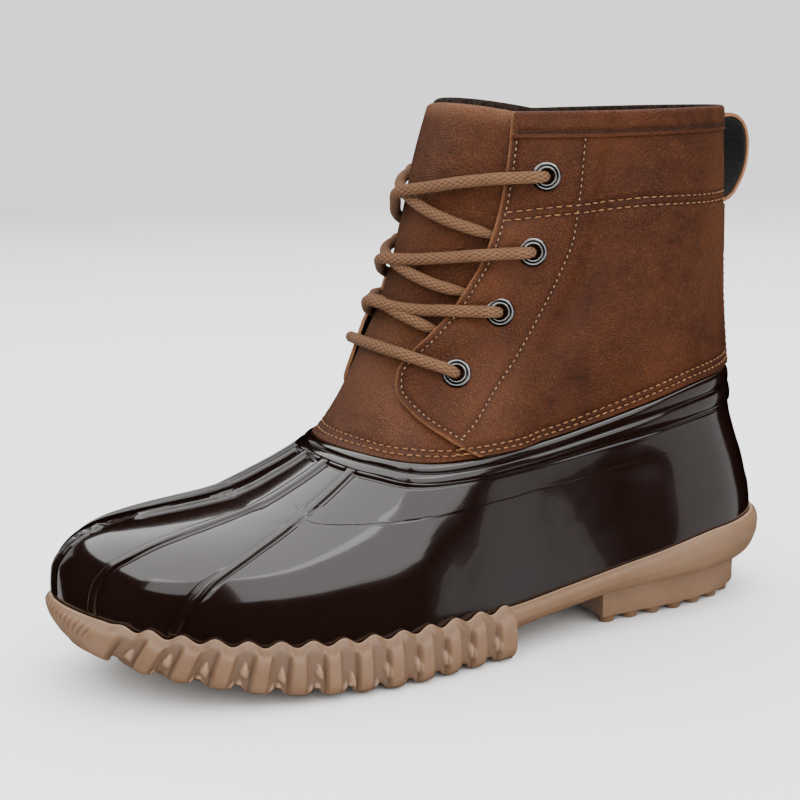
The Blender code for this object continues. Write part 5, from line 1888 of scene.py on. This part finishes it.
def turned_shape(name, profile, sides):
    """A profile of radius and height turned round Z, closed at both ends if it reaches the axis."""
    points, faces, rows = [], [], []
    for radius, height in profile:
        if radius == 0:
            rows.append([len(points)] * sides)
            points.append((0, 0, height))
        else:
            rows.append(list(range(len(points), len(points) + sides)))
            turns = np.linspace(0, 2 * math.pi, sides, endpoint=False)
            points += [(radius * math.cos(t), radius * math.sin(t), height) for t in turns]
    for low, high in zip(rows[:-1], rows[1:]):
        for k in range(sides):
            face = [low[k], low[(k + 1) % sides], high[(k + 1) % sides], high[k]]
            faces.append([v for n, v in enumerate(face) if v not in face[:n]])
    mesh = bpy.data.meshes.new(name)
    mesh.from_pydata(points, [], faces)
    mesh.shade_smooth()
    mesh.set_sharp_from_angle(angle=math.radians(50))
    return bpy.data.objects.new(name, mesh)


placing = placing_tree("place_along")


# %% Heel studs
stud_breast = (HEEL_BREAST - 0.5) * LAST_LENGTH + STUD_RADIUS + 0.001
stud_inset = HEEL_INSET + STUD_RADIUS + 0.001
_, stud_run = heel_line(stud_inset, stud_breast, 2)
stud_places, _ = heel_line(stud_inset, stud_breast, int(round(stud_run / STUD_PITCH)) + 1)
stud_profile = [(0, 0), (0.78, 0), (0.86, 0.04), (0.90, 0.14), (1.0, 0.92), (1.06, 1.0), (1.06, 1.4), (0, 1.4)]
stud_shape = turned_shape("stud_shape", [(r * STUD_RADIUS, h * STUD_HEIGHT) for r, h in stud_profile], 28)
stud_count = len(stud_places)
stud_places = np.concatenate([stud_places, np.zeros((stud_count, 1))], 1)
stud_points = point_mesh("stud_points", stud_places, [(0, 0, 1)] * stud_count, [(1, 0, 0)] * stud_count)
studs = grown("heel_studs", stud_points, placing, Shape=stud_shape, Finish=gum_finish, Size=1.0)
dress(studs, "gum_rubber", "outsole")
bpy.data.objects.remove(stud_shape)
print("studs:", stud_count)

# %% [markdown]
# ## Eyelets
# An eyelet is a thin metal tube whose ends are rolled over, so it has a bright rolled ring round the
# hole and a flat flange outside it, with a groove between them. The groove, the inside of the hole and
# the underside of the flange are painted nearly black as shade. One ring is turned from its
# profile and the placing tree puts it on the eight places, facing out of the leather at each.


# %% Turned rings
EYELET_PROFILE = (
    # radius and height in mm, painted shade
    (3.00, -2.50, 1.0),
    (2.98, -0.40, 0.7),
    (3.02, 0.55, 0.1),
    (3.20, 1.15, 0.0),
    (3.55, 1.42, 0.0),
    (3.95, 1.32, 0.0),
    (4.22, 0.98, 0.3),
    (4.36, 0.74, 1.0),
    (4.52, 0.72, 1.0),
    (4.66, 0.92, 0.3),
    (5.05, 1.00, 0.0),
    (5.50, 0.86, 0.0),
    (5.82, 0.58, 0.0),
    (5.98, 0.22, 0.2),
    (5.96, -0.35, 0.8),
    (5.20, -0.45, 1.0),
    (3.55, -0.30, 1.0),
    (3.45, -2.50, 1.0),
)


def ring_shape(name, profile, sides):
    points, recess_shade = [], []
    for turn in np.linspace(0, 2 * math.pi, sides, endpoint=False):
        for radius, height, shade in profile:
            points.append((radius * MM * math.cos(turn), radius * MM * math.sin(turn), height * MM))
            recess_shade.append(shade)
    index = np.arange(len(points)).reshape(sides, len(profile))
    index = np.concatenate([index, index[:1]])
    index = np.concatenate([index, index[:, :1]], 1)
    mesh = bpy.data.meshes.new(name)
    mesh.from_pydata(points, [], quads(index).tolist())
    mesh.shade_smooth()
    shape = bpy.data.objects.new(name, mesh)
    add_mask(shape, "recess_shade", recess_shade)
    return shape


eyelet_shape = ring_shape("eyelet_shape", EYELET_PROFILE, 48)
eyelet_points = point_mesh("eyelet_points", *([frame[k] for frame in EYELET_FRAMES] for k in (0, 1, 2)))
eyelets = grown("metal_eyelets", eyelet_points, placing, Shape=eyelet_shape, Finish=metal_finish, Size=0.88)
dress(eyelets, "gunmetal", *[f"eyelet_{side}_{k}" for side in ("outer", "inner") for k in (1, 2, 3, 4)])
bpy.data.objects.remove(eyelet_shape)

# %% [markdown]
# ## The lace
# The lace is a round braid. It comes out under one flap, crosses the tongue, climbs over the other
# flap and turns down into its eyelet, and the run to the outer side lies over the other one where
# they cross. It keeps its place at rest, so its route is drawn on the last like everything else.
# The braid is a ripple on a fine tube, and a mask tells the finish where one strand meets the next, so that it paints
# shade into the gaps.

# %% Lace measurements
LACE_RADIUS = 0.0022
LACE_GIRTH = 0.0138
LACE_STRANDS = 8
LACE_PITCH = 0.0030
LACE_SIDES = 48
LACE_STEP = 0.00030
LACE_PRESSED = 0.00145
LACE_TAIL = 0.0095
ON_TONGUE = LEATHER_IN + LEATHER + 0.0002
BAR_RISE = 0.008


def smooth_route(points, radii, step):
    """Even steps along a smooth curve through points, with the radius carried along."""
    points = np.asarray(points, float)
    run = run_along(points)
    fine = np.linspace(0, run[-1], len(points) * 14)
    columns = []
    for values in (*points.T, radii):
        slope = np.gradient(values, run)
        i = np.clip(np.searchsorted(run, fine) - 1, 0, len(run) - 2)
        width = run[i + 1] - run[i]
        t = (fine - run[i]) / width
        columns.append(between_ends(t, width, values[i], values[i + 1], slope[i], slope[i + 1]))
    curve = np.stack(columns, -1)
    length = run_along(curve[:, :3])
    wanted = np.linspace(0, length[-1], max(8, int(length[-1] / step)))
    even = np.stack([np.interp(wanted, length, curve[:, k]) for k in range(4)], -1)
    return even[:, :3], even[:, 3], wanted


def braid(turn, run):
    """0 in the gap between two strands, 1 on a strand's back."""
    u = LACE_STRANDS * turn / (2 * math.pi) + run / LACE_PITCH
    v = LACE_STRANDS * turn / (2 * math.pi) - run / LACE_PITCH
    over = (np.floor(u) + np.floor(v)) % 2 == 0
    along_u = np.sin(math.pi * (u % 1.0))
    along_v = np.sin(math.pi * (v % 1.0))
    return np.where(over, along_u**0.6 * (0.55 + 0.45 * along_v), along_v**0.6 * (0.55 + 0.45 * along_u))


def lace_tube(route, radii, shift):
    """A braided tube along a route. Its ends are closed."""
    centre, radius, run = smooth_route(route, radii, LACE_STEP)
    ahead = np.gradient(centre, axis=0)
    ahead /= np.linalg.norm(ahead, axis=1, keepdims=True)
    side = np.cross(ahead, centre - np.array((0, 0.02, 0.0)) - np.array((0, 0, 1)) * centre[:, 2:])
    side /= np.linalg.norm(side, axis=1, keepdims=True)
    for k in range(1, len(side)):
        turned = side[k - 1] - ahead[k] * (side[k - 1] @ ahead[k])
        side[k] = turned / np.linalg.norm(turned)
    other = np.cross(ahead, side)
    turns = np.linspace(0, 2 * math.pi, LACE_SIDES, endpoint=False)
    strand = braid(turns[None, :], run[:, None] + shift)
    reach = radius[:, None] * (1 - 0.11 * (1 - strand))
    round_it = side[:, None] * np.cos(turns)[None, :, None] + other[:, None] * np.sin(turns)[None, :, None]
    points = centre[:, None] + round_it * reach[..., None]
    rows = len(centre)
    index = closed_grid(rows, LACE_SIDES)
    faces = quads(index)
    ends = [list(index[0, :-1]), list(index[-1, :-1][::-1])]
    flow = np.stack(np.meshgrid(run, np.linspace(0, LACE_GIRTH, LACE_SIDES + 1), indexing="ij"), -1)
    return points.reshape(-1, 3), faces[:, ::-1].tolist(), ends, strand.ravel(), flow


def lace_piece(name, parts, *nodes):
    points, faces, caps, strand, loops = [], [], [], [], []
    base = 0
    for number, (route, radii) in enumerate(parts):
        p, f, ends, s, flow = lace_tube(route, radii, 0.0017 * number)
        rows = len(p) // LACE_SIDES
        points.append(p)
        strand.append(s)
        faces += [[v + base for v in face] for face in f]
        caps += [[v + base for v in end] for end in ends]
        grid = np.arange(rows * (LACE_SIDES + 1)).reshape(rows, LACE_SIDES + 1)
        loops.append(flow.reshape(-1, 2)[quads(grid)[:, ::-1].ravel()])
        base += len(p)
    made = new_piece(name, np.concatenate(points), faces + caps, [lace_finish], sharp=0)
    add_mask(made, "strand", np.concatenate(strand))
    layer = made.data.uv_layers.new(name="flow")
    values = np.zeros((len(made.data.loops), 2), np.float32)
    joined = np.concatenate(loops)
    values[: len(joined)] = joined
    layer.data.foreach_set("uv", values.ravel())
    face_outwards(made, split=True)
    return dress(made, "lace_cord", *nodes)


# %% Routes of the lace
def into_eyelet(frame, arriving):
    """The last points of a run: over the flange, then down through the hole, with their radii."""
    place, out, _, _, _ = frame
    toward = arriving - place
    toward = toward - out * (toward @ out)
    toward /= np.linalg.norm(toward)
    steps = (
        # distance before the hole's middle and height over the leather, in mm, and radius as a share
        (7.6, 2.4, 1.0),
        (4.6, 3.55, 1.0),
        (2.6, 2.75, 0.98),
        (1.1, 1.2, 0.93),
        (0.35, -0.6, 0.84),
        (0.2, -1.7, 0.62),
    )
    return [(place + toward * d * MM + out * h * MM, share * LACE_RADIUS) for d, h, share in steps]


def lace_route(k, side):
    """A run from under the far flap's edge over the tongue to its eyelet."""
    station, height, start, middle = EYELETS[k]
    z_end, z_start, z_middle = (share * COLLAR_HEIGHT for share in (height, start, middle))
    end = float(angle_at(station, z_end))
    begin = float(flap_angle(z_start)) - 0.02 + 0.10
    angles = np.linspace(-begin, end, 34)
    sway = 0.0006 * np.sin(3.1 * angles + 1.7 * k + side)
    z = np.where(
        angles < 0,
        z_middle + (z_start - z_middle) * (-angles / begin),
        z_middle + (z_end - z_middle) * np.sin(np.clip(angles / end, 0, 1) * math.pi / 2),
    )
    z = z + sway * ease((end - angles) / 0.3) * ease((angles + begin) / 0.3)
    edge = flap_angle(z)
    tucked = ease((angles + edge + 0.03) / 0.16)
    radius = LACE_PRESSED + (LACE_RADIUS - LACE_PRESSED) * tucked
    low = ON_TONGUE + radius
    high = FLAP_IN + LEATHER + 0.0002 + LACE_RADIUS
    climb = ease((angles - edge + 0.17) / 0.14)
    offset = np.where(angles > 0, low + (high - low) * climb, low)
    crossing = bump(angles, 0.17) if side > 0 else 0 * angles
    offset = offset + 1.75 * LACE_RADIUS * crossing
    points = proud(side * angles, z, offset)
    frame = EYELET_FRAMES[2 * k + (0 if side > 0 else 1)]
    kept = np.linalg.norm(points - frame[0], axis=1) > LACE_TAIL
    tail = into_eyelet(frame, points[kept][-1])
    route = list(points[kept]) + [p for p, _ in tail]
    radii = list(radius[kept]) + [r for _, r in tail]
    return np.array(route), np.array(radii)


def bar_route():
    station, height = EYELETS[3][:2]
    z = height * COLLAR_HEIGHT
    end = float(angle_at(station, z))
    angles = np.linspace(-end, end, 44)
    heights = z + BAR_RISE * (1 - (angles / end) ** 2)
    low = ON_TONGUE + LACE_RADIUS
    high = FLAP_IN + LEATHER + 0.0002 + LACE_RADIUS
    climb = ease((np.abs(angles) - flap_angle(heights) + 0.17) / 0.14)
    points = proud(angles, heights, low + (high - low) * climb)
    route, radii = [], []
    for near, frame, order in ((points[21::-1], EYELET_FRAMES[7], -1), (points[22:], EYELET_FRAMES[6], 1)):
        kept = near[np.linalg.norm(near - frame[0], axis=1) > LACE_TAIL]
        tail = into_eyelet(frame, kept[-1])
        route += ([*kept] + [p for p, _ in tail])[::order]
        radii += ([LACE_RADIUS] * len(kept) + [r for _, r in tail])[::order]
    return np.array(route), np.array(radii)


lace_length = 0
for k in range(3):
    routes = [lace_route(k, 1), lace_route(k, -1)]
    lace_piece(f"lace_cross_{k + 1}", routes, f"lace_crossing_{k + 1}")
    lace_length += sum(run_along(route)[-1] for route, _ in routes)
bar = bar_route()
lace_piece("lace_straight", [bar], "lace_bar")
lace_length += run_along(bar[0])[-1]
print("lace in sight:", round(1000 * lace_length), "mm")

# %% [markdown]
# ## The pull loop
# A strip of the same leather is folded over black webbing and sewn behind the collar. The strap's
# side view is one smooth line, and its two layers are sheets at different distances from that line.

# %% Pull loop
LOOP_WIDTH = 0.020
LOOP_THICKNESS = 0.0024
LOOP_DROP = 0.030
LOOP_REACH = 0.0130
LOOP_TOP = COLLAR_HEIGHT - 0.0065
LOOP_ROUTE = (
    # share of the reach, share of the drop
    (-0.04, -0.010),
    (0.20, -0.020),
    (0.45, -0.015),
    (0.68, 0.022),
    (0.85, 0.09),
    (0.95, 0.18),
    (1.00, 0.27),
    (1.00, 0.38),
    (0.97, 0.50),
    (0.88, 0.62),
    (0.75, 0.73),
    (0.60, 0.82),
    (0.42, 0.91),
    (0.20, 0.97),
    (-0.04, 1.00),
)


def make_loop():
    heights = np.linspace(LOOP_TOP - LOOP_DROP, LOOP_TOP, 9)
    behind = float(ring_ends(heights)[1].max()) + LEATHER_IN + LEATHER + COLLAR_PROUD + 0.0003
    reach = LOOP_REACH - LOOP_THICKNESS
    rough = [(0, behind + share * reach, LOOP_TOP - drop * LOOP_DROP) for share, drop in LOOP_ROUTE]
    line, _, run = smooth_route(rough, np.ones(len(rough)), 0.0005)
    tangent = np.gradient(line, axis=0)
    tangent /= np.linalg.norm(tangent, axis=1, keepdims=True)
    out = np.stack([0 * run, -tangent[:, 2], tangent[:, 1]], -1)
    shares = np.concatenate([[-1, -0.985, -0.955], np.linspace(-0.92, 0.92, 30), [0.955, 0.985, 1]])
    layers = (
        ("loop_webbing", 0.0, 0.0010, 0.93, "insole_felt", (webbing_finish, webbing_finish, webbing_finish)),
        ("loop_leather", 0.0010, LOOP_THICKNESS, 1.0, "brown_leather", (tongue_leather, edge_leather, edge_leather)),
    )
    for name, low, high, wide, slot, finishes in layers:
        rounding = 0.35 * MM * np.clip((np.abs(shares) - 0.93) / 0.07, 0, 1) ** 2
        across = np.stack([shares * wide * LOOP_WIDTH / 2, 0 * shares, 0 * shares], -1)
        sag = 0.25 * MM * np.sin(run / run[-1] * math.pi)[:, None] * (1 - shares**2)[None]
        outer = line[:, None] + across[None] + out[:, None] * (high - rounding + sag)[..., None]
        inner = line[:, None] + across[None] + out[:, None] * (low + sag)[..., None]
        made = grid_wall(name, outer, inner, False, finishes, sharp=50)
        count = outer.shape[0] * outer.shape[1]
        grid = np.stack(np.meshgrid(run, shares * LOOP_WIDTH / 2, indexing="ij"), -1).reshape(-1, 2)
        both = np.concatenate([grid, grid])
        corners = np.zeros(len(made.data.loops), np.int32)
        made.data.loops.foreach_get("vertex_index", corners)
        made.data.uv_layers.new(name="flow").data.foreach_set("uv", both[corners].astype(np.float32).ravel())
        hair = np.clip((np.abs(shares) - 0.955) / 0.045, 0, 1)[None] + 0 * run[:, None]
        bend = bump(np.linspace(0, 1, len(run)) - 0.32, 0.22)[:, None] * (1 + 0 * shares)[None]
        zeros = np.zeros(count)
        add_mask(made, "edge", np.concatenate([hair.ravel(), zeros]))
        add_mask(made, "pull_up", np.concatenate([0.8 * bend.ravel(), zeros]))
        face_outwards(made)
        dress(made, slot, "pull_loop")


make_loop()

# %% [markdown]
# ## Stitches
# Each seam is a row of thread that dips into the leather between stitches. A node tree makes it from
# the seam's line: it spaces points evenly, puts one long bead at each for the thread and one dark
# bead half a pitch on as painted shade in the needle hole, and turns both to lie along the seam and face outwards.


# %% Stitch tree
def stitch_tree():
    """Sews a seam along a line of edges, from even spacing to finished beads."""
    tree, nodes, given = growing_tree(
        "sew_seam",
        ("Pitch", "Float", 0.0039),
        ("Stitch", "Float", 0.0027),
        ("Thread", "Float", 0.0008),
        ("Rise", "Float", 0.0006),
        ("Hole", "Float", 0.0007),
        ("Seed", "Int", 3),
        ("Thread Finish", "Material", None),
        ("Hole Finish", "Material", None),
    )
    curve = nodes.add("GeometryNodeMeshToCurve", {"Mesh": given["Geometry"]}).outputs[0]
    inputs = {"Curve": curve, "Length": given["Pitch"]}
    spaced = nodes.add("GeometryNodeResampleCurve", inputs, mode="LENGTH").outputs[0]
    turn = facing(nodes, nodes.add("GeometryNodeInputTangent").outputs[0])
    most = (0.05, 0.05, 0.09)
    inputs = {"Min": tuple(-v for v in most), "Max": most, "Seed": given["Seed"]}
    sway = nodes.add("FunctionNodeRandomValue", inputs, data_type="FLOAT_VECTOR").outputs[0]
    inputs = {"Rotation": turn, "Rotate By": sway}
    swayed = nodes.add("FunctionNodeRotateEuler", inputs, space="LOCAL").outputs[0]
    half = nodes.times(given["Pitch"], 0.5)
    sets = []
    for length, width, height, shift, finish in (
        (given["Stitch"], given["Thread"], given["Rise"], 0.0, given["Thread Finish"]),
        # the dark bead is painted shade in the needle hole
        (given["Hole"], given["Hole"], nodes.times(given["Hole"], 0.35), half, given["Hole Finish"]),
    ):
        bead = nodes.add("GeometryNodeMeshUVSphere", {"Segments": 10, "Rings": 6, "Radius": 0.5}).outputs[0]
        bead = nodes.add("GeometryNodeSetShadeSmooth", {"Geometry": bead}).outputs[0]
        size = nodes.add("ShaderNodeCombineXYZ", {0: length, 1: width, 2: height}).outputs[0]
        move = nodes.add("ShaderNodeCombineXYZ", {0: shift}).outputs[0]
        inputs = {"Geometry": bead, "Translation": move, "Scale": size}
        shaped = nodes.add("GeometryNodeTransform", inputs).outputs[0]
        inputs = {"Points": spaced, "Instance": shaped, "Rotation": swayed}
        placed = nodes.add("GeometryNodeInstanceOnPoints", inputs).outputs[0]
        real = nodes.add("GeometryNodeRealizeInstances", {"Geometry": placed}).outputs[0]
        sets.append(nodes.add("GeometryNodeSetMaterial", {"Geometry": real, "Material": finish}).outputs[0])
    joined = nodes.add("GeometryNodeJoinGeometry")
    for one in sets:
        tree.links.new(one, joined.inputs[0])
    nodes.add("NodeGroupOutput", {"Geometry": joined.outputs[0]})
    return tree


def line_mesh(name, lines):
    """Seam lines as chains of edges. Each line is places and the directions out of the surface there."""
    places, outs, edges = [], [], []
    for points, normals in lines:
        base = len(places)
        places += list(points)
        outs += list(normals)
        edges += [(base + k, base + k + 1) for k in range(len(points) - 1)]
    mesh = bpy.data.meshes.new(name)
    mesh.from_pydata(np.array(places).tolist(), edges, [])
    attribute = mesh.attributes.new("out", "FLOAT_VECTOR", "POINT")
    attribute.data.foreach_set("vector", np.array(outs, np.float32).ravel())
    return mesh


sewing = stitch_tree()


# %% Sew the seams
def on_shaft(lines, sink=0.00012):
    """Lines of angle and height as places in the groove on the shaft's face."""
    found = []
    for angle, z in lines:
        band = COLLAR_PROUD * ease((z - BAND_LOW + 0.0003) / 0.0006)
        stay = BACKSTAY_PROUD * backstay(angle, z)
        face = leather_face(angle, z) + np.maximum(band, stay) - sink
        found.append((proud(angle, z, face), last_normal(angle, z)))
    return found


def on_tongue(lines):
    return [(proud(a, z, np.full(len(a), LEATHER_IN + LEATHER - 0.00012)), last_normal(a, z)) for a, z in lines]


ROWS = (
    # name, lines, pitch, stitch, thread, rise, hole, finish
    ("seam_collar", on_shaft(seams["collar"]), 2.1, 1.35, 0.50, 0.45, 0.55, dark_thread),
    ("seam_waist", on_shaft(seams["waist"]), 3.6, 2.65, 0.55, 0.50, 0.5, tan_thread),
    ("seam_hem", on_shaft(seams["hem"]) + on_tongue(vamp_seams), 3.2, 2.25, 0.60, 0.52, 0.55, tan_thread),
    ("seam_flap", on_shaft(seams["edge"]), 2.3, 1.15, 0.46, 0.42, 0.5, pale_thread),
    ("seam_facing", on_shaft(seams["facing"]), 2.3, 1.15, 0.46, 0.42, 0.5, pale_thread),
    ("seam_backstay", on_shaft(seams["stay"]), 2.8, 1.8, 0.50, 0.45, 0.5, tan_thread),
)
for name, lines, pitch, stitch, thread, rise, hole, finish in ROWS:
    piece = grown(
        name, line_mesh(name + "_line", lines), sewing,
        Pitch=pitch * MM, Stitch=stitch * MM, Thread=thread * MM, Rise=rise * MM, Hole=hole * MM,
        Seed=5, Thread_Finish=finish, Hole_Finish=needle_hole_shade,
    )
    dress(piece, "lace_cord")
